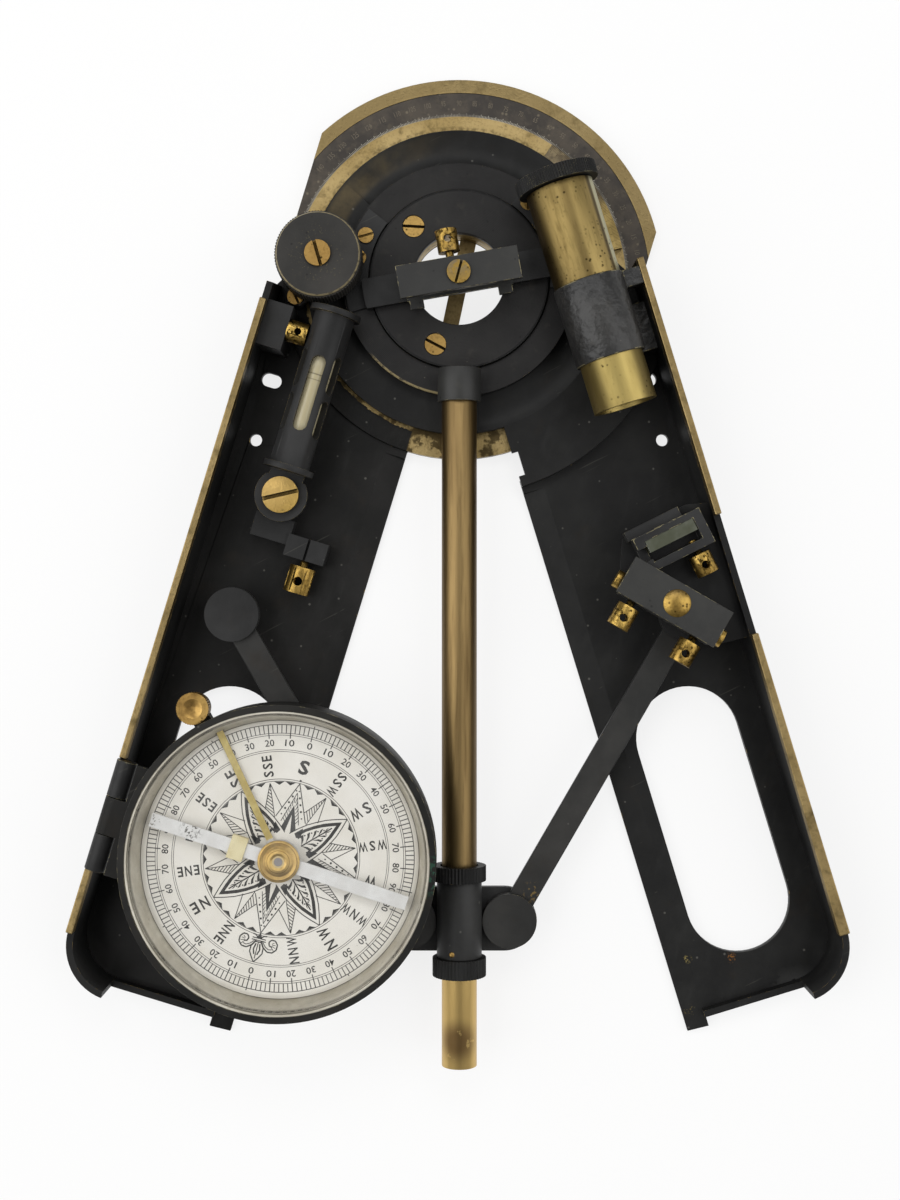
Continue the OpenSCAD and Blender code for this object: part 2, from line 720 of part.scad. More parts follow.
module horizon_mirror_box() color(grey) on_mirror() {
  difference() {
    union() {
      translate([-box_len / 2 + 1, -box_w / 2, 0]) cube([box_len - 2, 6.9, 1.2]);
      translate([-box_len / 2 + 1, -box_w / 2, 1]) cube([box_len - 2, 2.2, mirror_top - shelf_top - 2.4]);
      for (x = [-box_len / 2 + 1, box_len / 2 - 3]) translate([x, -box_w / 2, 1])
        cube([2, 6, mirror_top - shelf_top - 2.4]);
    }
    for (x = [-8.5, 8.5]) translate([x, -6, 4]) rotate([-90, 0, 0]) cylinder(h = 3.6, r = 1);
  }
  difference() {
    translate([-box_len / 2, -box_w / 2, mirror_top - shelf_top - 1.6]) cube([box_len, box_w, 1.6]);
    translate([0.6, 0, mirror_top - shelf_top - 3]) cylinder(h = 5, r = 1.2);
  }
}

module horizon_mirror() color("#9aa09c") on_mirror()
  translate([-box_len / 2 + 3, -box_w / 2 + 2.2, 1.2]) cube([box_len - 6, 1.6, mirror_top - shelf_top - 3]);

// Dome screw of the cap, capstan screws behind, and the pivots at the ends
module horizon_screws() color(bright) {
  on_mirror() {
    translate([0.6, 0, mirror_top - shelf_top]) {
      intersection() {
        cylinder(h = 1.1, r = 3.3);
        translate([0, 0, -5]) sphere(r = 6.05);
      }
      translate([0, 0, -1.6]) cylinder(h = 1.7, r = 1.2);
    }
    for (x = [-8.5, 8.5]) translate([x, -box_w / 2 - 1.4, 4]) rotate([0, 0, -90]) {
      capstan(5.6, 5.6, 1.9);
      translate([-3.6, 0, 0]) rotate([0, 90, 0]) cylinder(h = 3.6, r = 1);
    }
    for (s = [-1, 1]) translate([s * (box_len / 2 - 1), -1.8, 4]) rotate([0, s * 90, 0])
      cylinder(h = 2.4, r = 2.2);
  }
  on_glass() {
    translate([4.3, -5.6, 3.2]) rotate([0, 0, -90]) {
      capstan(5.4, 5.2, 1.9);
      translate([-3.6, 0, 0]) rotate([0, 90, 0]) cylinder(h = 3.6, r = 1);
    }
  }
}

// Index ring, rod and index mirror, which turn together

module index_ring() color(grey) {
  difference() {
    union() {
      translate([0, 0, ring_z]) linear_extrude(rack_h) {
        circle(rack_r - 1.13 * tooth_m);
        rotate([0, 0, pinion_dir]) gear_outline(rack_teeth, 0.06, -9 * 360 / rack_teeth, 15);
      }
      translate([0, 0, ring_z + rack_h]) cylinder(h = ring_top - ring_z - rack_h, r = ring_r);
    }
    translate([0, 0, ring_z - 1]) cylinder(h = 9, r = bush_r + turn_gap);
    translate([0, 0, bush_top - 0.2]) cylinder(h = 9, r = cap_r + 0.3);
    bridge_holes() translate([0, 0, ring_top - 1]) cylinder(h = 4, r = 0.9);
  }
}

module bridge_holes()
  for (a = [155, 168, 48]) rotate([0, 0, a]) translate([25.2, 0, 0]) children();

module rod_collar() color(grey) difference() {
  translate([0, -22.5, rod_z]) rotate([90, 0, 0]) cylinder(h = 8, r = rod_d / 2 + 1);
  translate([0, -22, rod_z]) rotate([90, 0, 0]) cylinder(h = 10, r = rod_d / 2);
  cylinder(h = ring_top, r = ring_r + 0.2);
}

module rod() color(brass)
  translate([0, -22.5, rod_z]) rotate([90, 0, 0]) cylinder(h = rod_len - 22.5, r = rod_d / 2);

// A bar over the clear hole, stepped down to two feet on the ring
module mirror_bridge() color(black) difference() {
  union() {
    translate([0, 0, bridge_z]) linear_extrude(1.6) intersection() {
      circle(cap_r + 1.8);
      rotate([0, 0, mirror_tilt]) square([80, bridge_w], center = true);
    }
    translate([0, 0, ring_top]) linear_extrude(bridge_z + 1.6 - ring_top) intersection() {
      difference() {
        circle(cap_r + 1.8);
        circle(cap_r + 0.4);
      }
      rotate([0, 0, mirror_tilt]) square([80, bridge_w], center = true);
    }
    translate([0, 0, ring_top]) linear_extrude(0.8) {
      ring_sector(cap_r + 0.4, ring_r - 0.5, 142, 197);
      ring_sector(cap_r + 0.4, ring_r - 0.5, -5, 55);
    }
  }
  bridge_holes() translate([0, 0, ring_top - 1]) cylinder(h = 4, r = 0.9);
}

module bridge_screws() color(bright)
  bridge_holes() translate([0, 0, ring_top + 0.8]) slotted_screw(1.9, 0.5, 0.9, 1.6, 40, 0.6);

module on_index() translate([-0.2, -0.9, bridge_z + 1.6]) rotate([0, 0, mirror_tilt]) children();
frame_h = mirror_top - bridge_z - 1.6;

module index_mirror_frame() color(grey) on_index() {
  difference() {
    union() {
      translate([-13, -3.2, 0]) cube([26, 7.1, 1.4]);
      translate([-13.6, 2, 1]) cube([27.2, 1.9, frame_h - 2.4]);
      for (x = [-13.6, 11.8]) translate([x, -1, 1]) cube([1.8, 4, frame_h - 2.4]);
      for (x = [-12.6, 9.2]) translate([x, -5.2, 0]) cube([3.4, 3, 1.4]);
    }
    translate([-1.2, 0, 5.6]) rotate([-90, 0, 0]) cylinder(h = 9, r = 1);
  }
  difference() {
    translate([-mirror_len / 2, -3.9, frame_h - 1.6]) cube([mirror_len, 7.8, 1.6]);
    translate([0, 0, frame_h - 3]) cylinder(h = 5, r = 1.1);
  }
}

module index_mirror() color("#9aa09c") on_index()
  translate([-11.8, 0.4, 1.4]) cube([23.6, 1.6, frame_h - 3]);

module index_screws() color(bright) on_index() {
  translate([0, 0, frame_h]) slotted_screw(2.8, 0.8, 1.1, 1.5, 65, 0.6);
  translate([-1.2, 6, 5.6]) rotate([0, 0, 90]) {
    capstan(5.3, 5.4, 1.8);
    translate([-4, 0, 0]) rotate([0, 90, 0]) cylinder(h = 4, r = 1);
  }
}

// Links and slider

module link(far_r) difference() {
  linear_extrude(link_t) {
    circle(link_end_r);
    translate([0, -link_len]) circle(link_end_r);
    translate([-link_w / 2, -link_len]) square([link_w, link_len]);
  }
  translate([0, 0, -1]) cylinder(h = link_t + 2, r = link_pin_r + turn_gap);
  translate([0, -link_len, -1]) cylinder(h = link_t + 2, r = link_pin_r + far_r);
}

module left_link() color(black)
  at_left(stud_side, stud_along, link_z) rotate([0, 0, half_open + link_dir(half_open)]) link(turn_gap);
module right_link() color(black)
  at_right(stud_side, stud_along, link_z) rotate([0, 0, -half_open - link_dir(half_open)]) link(ear_gap);

module on_slider() translate([0, sleeve_up - slider_y, rod_z]) rotate([90, 0, 0]) children();

// The sleeve carries an ear on each side for the links
module slider_sleeve() color(black) difference() {
  union() {
    on_slider() translate([0, 0, -sleeve_len / 2]) cylinder(h = sleeve_len, d = sleeve_d);
    on_slider() translate([0, 0, -sleeve_len / 2 - upper_nut_h + 1])
      cylinder(h = sleeve_len + upper_nut_h + lower_nut_h - 2, d = sleeve_d - 0.7);
    translate([0, -slider_y, ear_z]) linear_extrude(ear_t) {
      square([2 * ear_side - 2.4, 2 * ear_r], center = true);
      for (s = [-1, 1]) translate([s * (ear_side - 1.2), 0]) circle(ear_r);
    }
  }
  on_slider() translate([0, 0, -40]) cylinder(h = 80, r = rod_d / 2 + slide_gap);
  for (x = [-ear_side, ear_side]) translate([x, -slider_y, ear_z - 1]) cylinder(h = 5, r = link_pin_r);
}

module slider_pivots() color(black) for (x = [-ear_side, ear_side]) translate([x, -slider_y, 0]) {
  translate([0, 0, ear_z]) cylinder(h = link_cap_z - ear_z, r = link_pin_r);
  translate([0, 0, link_cap_z]) cylinder(h = link_cap_t, r = link_cap_r);
}

module slider_nut(h) difference() {
  knurled(nut_d / 2, h, 48, 0.2);
  translate([0, 0, -1]) cylinder(h = h + 2, r = rod_d / 2 + slide_gap);
  translate([0, 0, -1]) cylinder(h = h, d = sleeve_d - 0.7 + 2 * turn_gap);
}

module upper_nut() color(black) on_slider()
  translate([0, 0, -sleeve_len / 2 - 0.05]) mirror([0, 0, 1]) slider_nut(upper_nut_h);
module lower_nut() color(black) on_slider()
  translate([0, 0, sleeve_len / 2 + 0.05]) slider_nut(lower_nut_h);

// Knob and pinion, which drive the rod round through the rack

module on_pinion(z) rotate([0, 0, pinion_dir]) translate([pinion_at, 0, z]) children();

module pinion() color(brass) {
  on_pinion(ring_z + 0.2) rotate([0, 0, 180 + 180 / pinion_teeth])
    linear_extrude(rack_h - 0.4) gear_outline(pinion_teeth, 0.06);
  on_pinion(ring_z + 0.3) cylinder(h = knob_z + 4 - ring_z - 0.3, r = arbor_r);
}

module knob() color(grey) difference() {
  union() {
    on_pinion(cock_z + cock_t + run_gap) cylinder(h = knob_z - cock_z - cock_t, r = 4);
    on_pinion(knob_z) knurled(knob_r, knob_h - 1, 90, 0.2);
    on_pinion(knob_z + knob_h - 1.001) cylinder(h = 1, r1 = knob_r - 0.2, r2 = knob_r - 0.7);
  }
  on_pinion(0) cylinder(h = knob_z + 4, r = arbor_r);
  on_pinion(knob_z) cylinder(h = knob_h + 1, r = 1.1);
}

module knob_screw() color(bright) on_pinion(knob_z + knob_h)
  slotted_screw(3.1, 0.9, 1.1, knob_h - 4, 106 - pinion_dir, 0.8);

// Compass

module on_case(z = case_z) at_left(case_side, case_along, z) children();

module compass_case() color(black) difference() {
  union() {
    on_case() cylinder(h = case_h, r = case_r);
    on_case(case_z + 3.4) rotate([0, 0, lifter_screw_dir + half_open]) {
      translate([case_inner, -2.2, 0]) cube([lifter_screw_at - case_inner, 4.4, 3]);
      translate([lifter_screw_at, 0, 0]) cylinder(h = 3, r = 3.4);
    }
    at_left(hinge_side - hinge_d / 2 - run_gap, hinge_along + hinge_len / 2, case_z)
      cube([tongue_len, hinge_len, 2]);
    at_left(hinge_side, hinge_along + knuckle_len / 2 - 0.1, case_z)
      cube([tongue_len, knuckle_len - 0.2, 2]);
    at_left(hinge_side, hinge_along + knuckle_len / 2 - 0.1, hinge_z) rotate([-90, 0, 0])
      cylinder(h = knuckle_len - 0.2, d = hinge_d);
  }
  on_case(case_z + case_floor_t) cylinder(h = case_h, r = case_inner);
  at_left(hinge_side, hinge_along + hinge_len, hinge_z) rotate([-90, 0, 0])
    cylinder(h = 2 * hinge_len, r = 1 + turn_gap);
  on_case(case_z) rotate([0, 0, lifter_screw_dir + half_open]) translate([lifter_screw_at, 0, 0])
    cylinder(h = 10, r = 1.5 + turn_gap);
}

// The silvered ring slopes from the glass down to the dial
module compass_bezel() color("#c9c2b0") difference() {
  on_case(0) rotate_extrude() polygon([
    [dial_r - 2.4, case_z + case_floor_t], [case_inner, case_z + case_floor_t],
    [case_inner, case_z + case_h - 0.2], [case_inner - 0.5, case_z + case_h - 0.2],
    [case_inner - 0.5, glass_z], [case_inner - 1.1, glass_z], [case_inner - 1.3, glass_z - 1.2],
    [dial_r + 0.7, dial_z + 1.3], [dial_r + 0.15, dial_z + 0.1],
    [dial_r + 0.15, dial_z - 0.8], [dial_r - 2.4, dial_z - 0.8]]);
  on_case(dial_z + 0.1) rotate([0, 0, lifter_dir + half_open]) translate([dial_r - 1, -1.1, 0])
    cube([3, 2.2, 1]);
}

module compass_glass() color("#dfe6e4", 0.4)
  on_case(glass_z) cylinder(h = glass_t, r = case_inner - 0.55);

module compass_dial() color("#e8e4dc") {
  on_case(dial_z - 0.8) cylinder(h = 0.8, r = dial_r);
  on_case(dial_z) cylinder(h = 1.6, r = 1.1);
  on_case(dial_z + 1.6) cylinder(h = 0.6, r1 = 1.1, r2 = 0.2);
}

// A spring strip that lifts the needle off its point when the screw is turned
module lifter() color("#d2c08a") on_case(dial_z + run_gap) rotate([0, 0, lifter_dir + half_open]) {
  linear_extrude(0.5) difference() {
    union() {
      translate([2.4, -0.8]) square([dial_r - 1.4, 1.6]);
      circle(4.8);
    }
    circle(1.7);
  }
}

module lifter_screw() color(bright)
  on_case(case_z + 6.4 + run_gap) rotate([0, 0, lifter_screw_dir + half_open])
  translate([lifter_screw_at, 0, 0]) {
    difference() {
      knurled(3.8, 3.6, 40, 0.12);
      translate([0, 0, 3]) cylinder(h = 1, r1 = 0.6, r2 = 3.4);
    }
    translate([0, 0, -6]) cylinder(h = 6, r = 1.5);
  }

module on_needle(z) on_case(z) rotate([0, 0, needle_dir + half_open]) children();

module needle() color("#eeece6") difference() {
  union() {
    on_needle(needle_z) translate([-needle_len / 2, -1.65, 0]) cube([needle_len, 3.3, 0.6]);
    on_needle(needle_z - 0.4) cylinder(h = 1, r = 2.6);
  }
  on_needle(needle_z - 1) cylinder(h = 1.4, r = 1.5);
}

module needle_cap() color(brass) on_needle(needle_z + 0.6) {
  rotate_extrude() polygon([[0, 0], [4.9, 0], [4.9, 0.4], [4.3, 0.75], [3.5, 0.55], [3, 0.95],
                            [2, 1.3], [1.4, 1], [0, 1]]);
}

module needle_rider() color("#ddd3b4") on_needle(needle_z) difference() {
  translate([-12, -2.8, -0.5]) cube([3.8, 5.6, 1.6]);
  translate([-13, -1.65, 0]) cube([6, 3.3, 0.6]);
}

left_leg_plate();
left_leg_wall();
left_leg_rim();
limb_plate();
limb_scale();
pivot_bush();
pivot_cap();
hub_screws();
station_bar();
pinion_cock();
level_housing();
level_vial();
level_screws();
level_brackets();
left_link_stud();
hinge_fixed_leaf();
hinge_pin();
right_leg_plate();
right_leg_wall();
right_leg_rim();
vernier();
telescope_collar();
telescope_tube();
objective_lens();
horizon_bracket();
horizon_glass_frame();
horizon_glass();
horizon_mirror_box();
horizon_mirror();
horizon_screws();
right_link_stud();
index_ring();
rod_collar();
rod();
mirror_bridge();
bridge_screws();
index_mirror_frame();
index_mirror();
index_screws();
left_link();
slider_sleeve();
slider_pivots();
upper_nut();
lower_nut();
right_link();
knob();
pinion();
knob_screw();
compass_case();
compass_bezel();
compass_glass();
compass_dial();
lifter();
lifter_screw();
needle();
needle_cap();
needle_rider();
draw_tube();
eyepiece_ring();
eye_lens();
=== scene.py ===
"""Looks of the folding surveying sextant: finishes, print and small detail round the CAD frame."""

import math

import bmesh
import bpy
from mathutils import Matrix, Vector


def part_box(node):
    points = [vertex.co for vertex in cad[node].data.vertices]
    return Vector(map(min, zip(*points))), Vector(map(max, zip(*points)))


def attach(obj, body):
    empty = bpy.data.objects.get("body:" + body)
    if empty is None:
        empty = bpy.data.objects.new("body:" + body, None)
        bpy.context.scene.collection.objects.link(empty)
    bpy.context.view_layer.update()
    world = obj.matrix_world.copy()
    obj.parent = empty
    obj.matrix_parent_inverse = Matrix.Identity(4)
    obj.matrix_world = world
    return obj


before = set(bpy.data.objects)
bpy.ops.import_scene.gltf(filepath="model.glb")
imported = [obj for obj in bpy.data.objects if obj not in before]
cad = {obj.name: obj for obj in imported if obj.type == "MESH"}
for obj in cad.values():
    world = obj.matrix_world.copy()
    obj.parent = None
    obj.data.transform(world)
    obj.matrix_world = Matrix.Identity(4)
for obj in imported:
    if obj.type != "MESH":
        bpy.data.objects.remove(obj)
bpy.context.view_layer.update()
MM = 0.001
HALF_OPEN = math.radians(17)


def hex_to_linear(code):
    """An sRGB hex colour as linear RGBA."""
    parts = [int(code[i:i + 2], 16) / 255 for i in (1, 3, 5)]
    return (*[c / 12.92 if c <= 0.04045 else ((c + 0.055) / 1.055) ** 2.4 for c in parts], 1.0)


def wire(tree, node, links):
    """Links or sets a node's inputs."""
    for key, value in links.items():
        if isinstance(value, bpy.types.NodeSocket):
            tree.links.new(value, node.inputs[key])
        else:
            node.inputs[key].default_value = value


def add(tree, kind, links=None, **settings):
    """Adds a node, sets its properties, and links or sets its inputs."""
    node = tree.nodes.new(kind)
    for name, value in settings.items():
        setattr(node, name, value)
    wire(tree, node, links or {})
    return node


def calc(tree, operation, *values):
    """The result of one maths node."""
    return add(tree, "ShaderNodeMath", dict(enumerate(values)), operation=operation).outputs[0]


def finish_start(name, roughness, metallic=0.0, gloss=0.5):
    """A new material with its shader and object coordinates."""
    material = bpy.data.materials.new(name)
    material.use_nodes = True
    tree = material.node_tree
    shader = tree.nodes["Principled BSDF"]
    wire(tree, shader, {"Roughness": roughness, "Metallic": metallic, "Specular IOR Level": gloss})
    place = add(tree, "ShaderNodeTexCoord").outputs["Object"]
    return material, tree, shader, place


def stretched(tree, place, x=1.0, y=1.0, z=1.0, turn=0.0):
    """Coordinates turned about Z, then scaled, for brushed or drawn streaks."""
    turned = add(tree, "ShaderNodeMapping", {"Vector": place, "Rotation": (0, 0, turn)})
    return add(tree, "ShaderNodeMapping", {"Vector": turned.outputs[0], "Scale": (x, y, z)}).outputs[0]


def grain(tree, place, per_metre, detail, rough=0.5):
    """The unevenness of a skin, as a height."""
    return add(tree, "ShaderNodeTexNoise", {"Vector": place, "Scale": per_metre, "Detail": detail,
                                            "Roughness": rough}).outputs["Fac"]


def blotches(tree, place, size_mm, low, high, detail=4.0, seed=0.0):
    """A 0 to 1 mask of soft patches of about size_mm."""
    noise = add(tree, "ShaderNodeTexNoise", {"Vector": place, "W": seed, "Scale": 1000.0 / size_mm,
                                             "Detail": detail, "Roughness": 0.6}, noise_dimensions="4D")
    return ramp(tree, noise.outputs["Fac"], low, high)


def flecks(tree, place, spacing_mm, size, share, seed=0.0):
    """A mask of round specks, one in some of the cells of spacing_mm."""
    cells = add(tree, "ShaderNodeTexVoronoi", {"Vector": place, "W": seed,
                                               "Scale": 1000.0 / spacing_mm}, voronoi_dimensions="4D")
    dot = add(tree, "ShaderNodeMapRange", {"Value": cells.outputs["Distance"], "From Min": size,
                                           "From Max": size * 0.5})
    pick = add(tree, "ShaderNodeSeparateColor", {"Color": cells.outputs["Color"]})
    return times(tree, dot.outputs["Result"], calc(tree, "LESS_THAN", pick.outputs["Red"], share))


def as_colour(value):
    """A hex code or a colour socket, as an input takes it."""
    return hex_to_linear(value) if isinstance(value, str) else value


def tint(tree, mask, under, over, strength=1.0):
    """Colour over on under, where the mask is."""
    if strength != 1.0:
        mask = times(tree, mask, strength)
    return add(tree, "ShaderNodeMix", {"Factor": mask, "A": as_colour(under), "B": as_colour(over)},
               data_type="RGBA").outputs[2]


def mix_value(tree, mask, low, high):
    """A number from low to high by the mask."""
    return add(tree, "ShaderNodeMapRange", {"Value": mask, "To Min": low,
                                            "To Max": high}).outputs["Result"]


def relief(tree, shader, height, depth_mm):
    """Raises the shaded surface by a height mask."""
    bump = add(tree, "ShaderNodeBump", {"Height": height, "Distance": depth_mm * MM, "Strength": 1.0})
    wire(tree, shader, {"Normal": bump.outputs["Normal"]})


def times(tree, *masks):
    """The product of several masks or numbers."""
    whole = masks[0]
    for mask in masks[1:]:
        whole = calc(tree, "MULTIPLY", whole, mask)
    return whole


def joined(tree, *masks):
    """The union of several masks."""
    whole = masks[0]
    for mask in masks[1:]:
        whole = calc(tree, "MAXIMUM", whole, mask)
    return whole


def ramp(tree, value, low, high):
    """0 at low, 1 at high, or the other way round where low is above high."""
    return add(tree, "ShaderNodeMapRange", {"Value": value, "From Min": low, "From Max": high},
               interpolation_type="SMOOTHSTEP").outputs["Result"]


def between(tree, value, low, high, soft):
    """1 where value lies from low to high, with soft sides."""
    return times(tree, ramp(tree, value, low - soft, low + soft),
                 ramp(tree, value, high + soft, high - soft))


def vector_calc(tree, operation, *values, result="Vector"):
    """The result of one vector maths node."""
    node = add(tree, "ShaderNodeVectorMath", dict(enumerate(values)), operation=operation)
    return node.outputs[result]


def along_line(tree, place, direction):
    """How far a point lies along a direction, in millimetres."""
    return times(tree, vector_calc(tree, "DOT_PRODUCT", place, direction, result="Value"), 1 / MM)


def near(tree, place, point, radius_mm):
    """1 at a point, falling to 0 at radius_mm."""
    gap = vector_calc(tree, "DISTANCE", place, point, result="Value")
    return ramp(tree, gap, radius_mm * MM, 0.25 * radius_mm * MM)


def polar(tree, place, centre):
    """Radius in millimetres and direction in degrees about an upright line."""
    arm = vector_calc(tree, "SUBTRACT", place, (centre[0], centre[1], 0))
    flat = vector_calc(tree, "MULTIPLY", arm, (1 / MM, 1 / MM, 0))
    parts = add(tree, "ShaderNodeSeparateXYZ", {0: flat}).outputs
    turn = calc(tree, "ARCTAN2", parts["Y"], parts["X"])
    return vector_calc(tree, "LENGTH", flat, result="Value"), times(tree, turn, 180 / math.pi)


def ticks(tree, radius, degrees, step, width_mm, r_in, r_out, start=0.0):
    """Radial strokes each step degrees from r_in to r_out."""
    moved = calc(tree, "ADD", degrees, 720.0 - start + step / 2)
    off = calc(tree, "SUBTRACT", calc(tree, "MODULO", moved, step), step / 2)
    half = width_mm / 2 * 180 / math.pi
    stroke = ramp(tree, times(tree, calc(tree, "ABSOLUTE", off), radius), half * 1.4, half * 0.6)
    return times(tree, stroke, between(tree, radius, r_in, r_out, 0.03))


def crevice(tree, reach_mm, low=0.75, high=0.35):
    """1 in slots, corners and close gaps: painted shade there, with the dirt and tarnish that stay."""
    shade = add(tree, "ShaderNodeAmbientOcclusion", {"Distance": reach_mm * MM}, samples=8)
    return ramp(tree, shade.outputs["AO"], low, high)


def marked(tree, place, colour, marks):
    """Local stains and knocks. Each mark is a point, its reach, a colour, the size of its grain and how
    full it is."""
    for number, (point, reach, shade, size_mm, full) in enumerate(marks):
        spots = blotches(tree, place, size_mm, 0.62 - full, 0.66 - full, 5, seed=20.0 + number)
        colour = tint(tree, times(tree, near(tree, place, point, reach), spots), colour, shade)
    return colour


# Finishes. Each is named for the real one, and the comment says what it gives the eye.

def black_lacquer(name, dark, light, roughness, brown=0.25, specks=0.85, marks=(), gloss=0.16, rubs=()):
    """Stoved black lacquer on brass: satin, uneven in depth, with dust and small knocks to the metal.
    Each rub is a soft patch about the main pivot: from and to a radius, where it starts and is full by
    direction, and a colour."""
    material, tree, shader, place = finish_start(name, roughness, gloss=gloss)
    depth = blotches(tree, place, 22, 0.35, 0.7)
    colour = tint(tree, depth, dark, light)
    rusty = blotches(tree, place, 9, 0.55, 0.75, seed=3.0)
    colour = tint(tree, rusty, colour, "#2e261c", brown)
    haze = blotches(tree, stretched(tree, place, 1, 0.3, 1, 0.3), 3, 0.5, 0.8, 6, seed=5.0)
    colour = tint(tree, haze, colour, "#3c3c3b", 0.2)
    scrape = blotches(tree, stretched(tree, place, 1, 0.04, 1, 1.1), 0.9, 0.68, 0.74, 2, seed=7.0)
    colour = tint(tree, scrape, colour, "#45443f", 0.5)
    dust = flecks(tree, place, 2.4, 0.16, specks, 1.0)
    colour = tint(tree, dust, colour, "#77756f", 0.45)
    knocks = flecks(tree, place, 9, 0.035, 0.3, 2.0)
    colour = tint(tree, knocks, colour, "#7a6334")
    colour = marked(tree, place, colour, marks)
    for inner, outer, start, full, shade in rubs:
        radius, degrees = polar(tree, place, PIVOT)
        patch = times(tree, between(tree, radius, inner, outer, 0.9), ramp(tree, degrees, start, full),
                      blotches(tree, place, 8, 0.2, 0.75, 5, seed=15.0))
        colour = tint(tree, patch, colour, shade)
    wire(tree, shader, {"Base Color": colour,
                        "Roughness": mix_value(tree, haze, roughness, roughness + 0.16)})
    relief(tree, shader, grain(tree, place, 900.0, 3.0), 0.03)
    return material


def worn_edge(name, cover, metal, worn, centre=None, arc=None):
    """Edges where handling has rubbed the lacquer through to brass, most along one arc, if given."""
    material, tree, shader, place = finish_start(name, 0.45, gloss=0.25)
    bare = blotches(tree, place, 2.5, worn, worn + 0.08, 5)
    if arc:
        _, degrees = polar(tree, place, centre)
        bare = joined(tree, bare, times(tree, between(tree, degrees, *arc, 4),
                                        blotches(tree, place, 1.8, 0.3, 0.5, 5, seed=3.0)))
    wire(tree, shader, {"Base Color": tint(tree, bare, cover, metal),
                        "Metallic": times(tree, bare, 0.9)})
    return material


def aged_brass(name, light, mid, dark, roughness=0.4, streak=(1, 1, 1), turn=0.0, pits=0.0, grime_and_shade=0.6,
               slots=False, marks=(), bands=()):
    """Old brass, polished long ago: warm patches of tarnish, fine working streaks, pits, and dirt with
    painted shade in corners. Each band is a colour, its strength and its limits: a direction, and where
    along it the colour starts and is full."""
    material, tree, shader, place = finish_start(name, roughness, 1.0)
    along = stretched(tree, place, *streak, turn)
    wide = blotches(tree, along, 14, 0.38, 0.66)
    colour = tint(tree, wide, mid, light)
    deep = blotches(tree, along, 4.5, 0.5, 0.74, 6, seed=2.0)
    colour = tint(tree, deep, colour, dark, 0.75)
    fine = blotches(tree, along, 0.7, 0.45, 0.75, 3, seed=4.0)
    colour = tint(tree, fine, colour, dark, 0.4)
    for shade, strength, *limits in bands:
        reach = times(tree, *[ramp(tree, along_line(tree, place, line), start, full)
                              for line, start, full in limits])
        colour = tint(tree, reach, colour, shade, strength)
    if pits:
        crowd = blotches(tree, place, 11, 0.44, 0.6, seed=6.0)
        holes = times(tree, flecks(tree, place, 0.95, 0.4, pits, 5.0), crowd)
        colour = tint(tree, holes, colour, "#2c2212", 0.85)
    colour = marked(tree, place, colour, marks)
    # painted shade with dirt in corners, darkest in screw slots
    dirt_and_shade = crevice(tree, 1.5, 0.9, 0.5) if slots else crevice(tree, 0.9)
    colour = tint(tree, dirt_and_shade, colour, "#0f0b06" if slots else "#17120a", grime_and_shade)
    dull = joined(tree, deep, dirt_and_shade)
    wire(tree, shader, {"Base Color": colour,
                        "Roughness": mix_value(tree, dull, roughness, roughness + 0.2)})
    relief(tree, shader, fine, 0.02)
    return material


def bronzed(name, dark, light, roughness, centre=None, groove_mm=0.35, lumps_mm=0.0, gloss=0.22,
            rims=(), marks=()):
    """Bronzed brass, turned, filed or cast: charcoal, with faint tool rings or lumps, pale handling
    specks, and dirt with painted shade in corners. Each rim is a turned line, worn, or dark as painted
    shade in a
    groove: from and to a radius, from and to a direction, and a colour."""
    material, tree, shader, place = finish_start(name, roughness, gloss=gloss)
    cloud = blotches(tree, place, 16, 0.35, 0.7)
    colour = tint(tree, cloud, dark, light)
    rub = blotches(tree, place, 4, 0.56, 0.8, 6, seed=3.0)
    colour = tint(tree, rub, colour, "#4c4840", 0.3)
    dots = flecks(tree, place, 1.7, 0.11, 0.25, 1.0)
    colour = tint(tree, dots, colour, "#6d675c", 0.5)
    pits = flecks(tree, place, 1.6, 0.24, 0.35, 4.0)
    colour = tint(tree, pits, colour, "#0e0e0e", 0.6)
    skin = grain(tree, place, 1400.0, 2.0)
    depth = 0.012
    if centre:
        radius, degrees = polar(tree, place, centre)
        groove = calc(tree, "SINE", times(tree, radius, 2 * math.pi / groove_mm))
        skin = calc(tree, "MULTIPLY_ADD", groove, 0.35, skin)
    for inner, outer, start, stop, shade in rims:
        line = times(tree, between(tree, radius, inner, outer, 0.08),
                     between(tree, degrees, start, stop, 3),
                     blotches(tree, place, 1.2, 0.3, 0.52, 4, seed=9.0))
        colour = tint(tree, line, colour, shade, 0.9)
    if lumps_mm:
        lump = grain(tree, place, 1000.0 / lumps_mm, 1.5, 0.4)
        skin = calc(tree, "MULTIPLY_ADD", lump, 4.0, skin)
        depth = 0.1
    colour = marked(tree, place, colour, marks)
    # painted shade with dirt in corners and close gaps
    colour = tint(tree, crevice(tree, 0.6), colour, "#0b0b0a", 0.6)
    wire(tree, shader, {"Base Color": colour,
                        "Roughness": mix_value(tree, rub, roughness, roughness + 0.12)})
    relief(tree, shader, skin, depth)
    return material


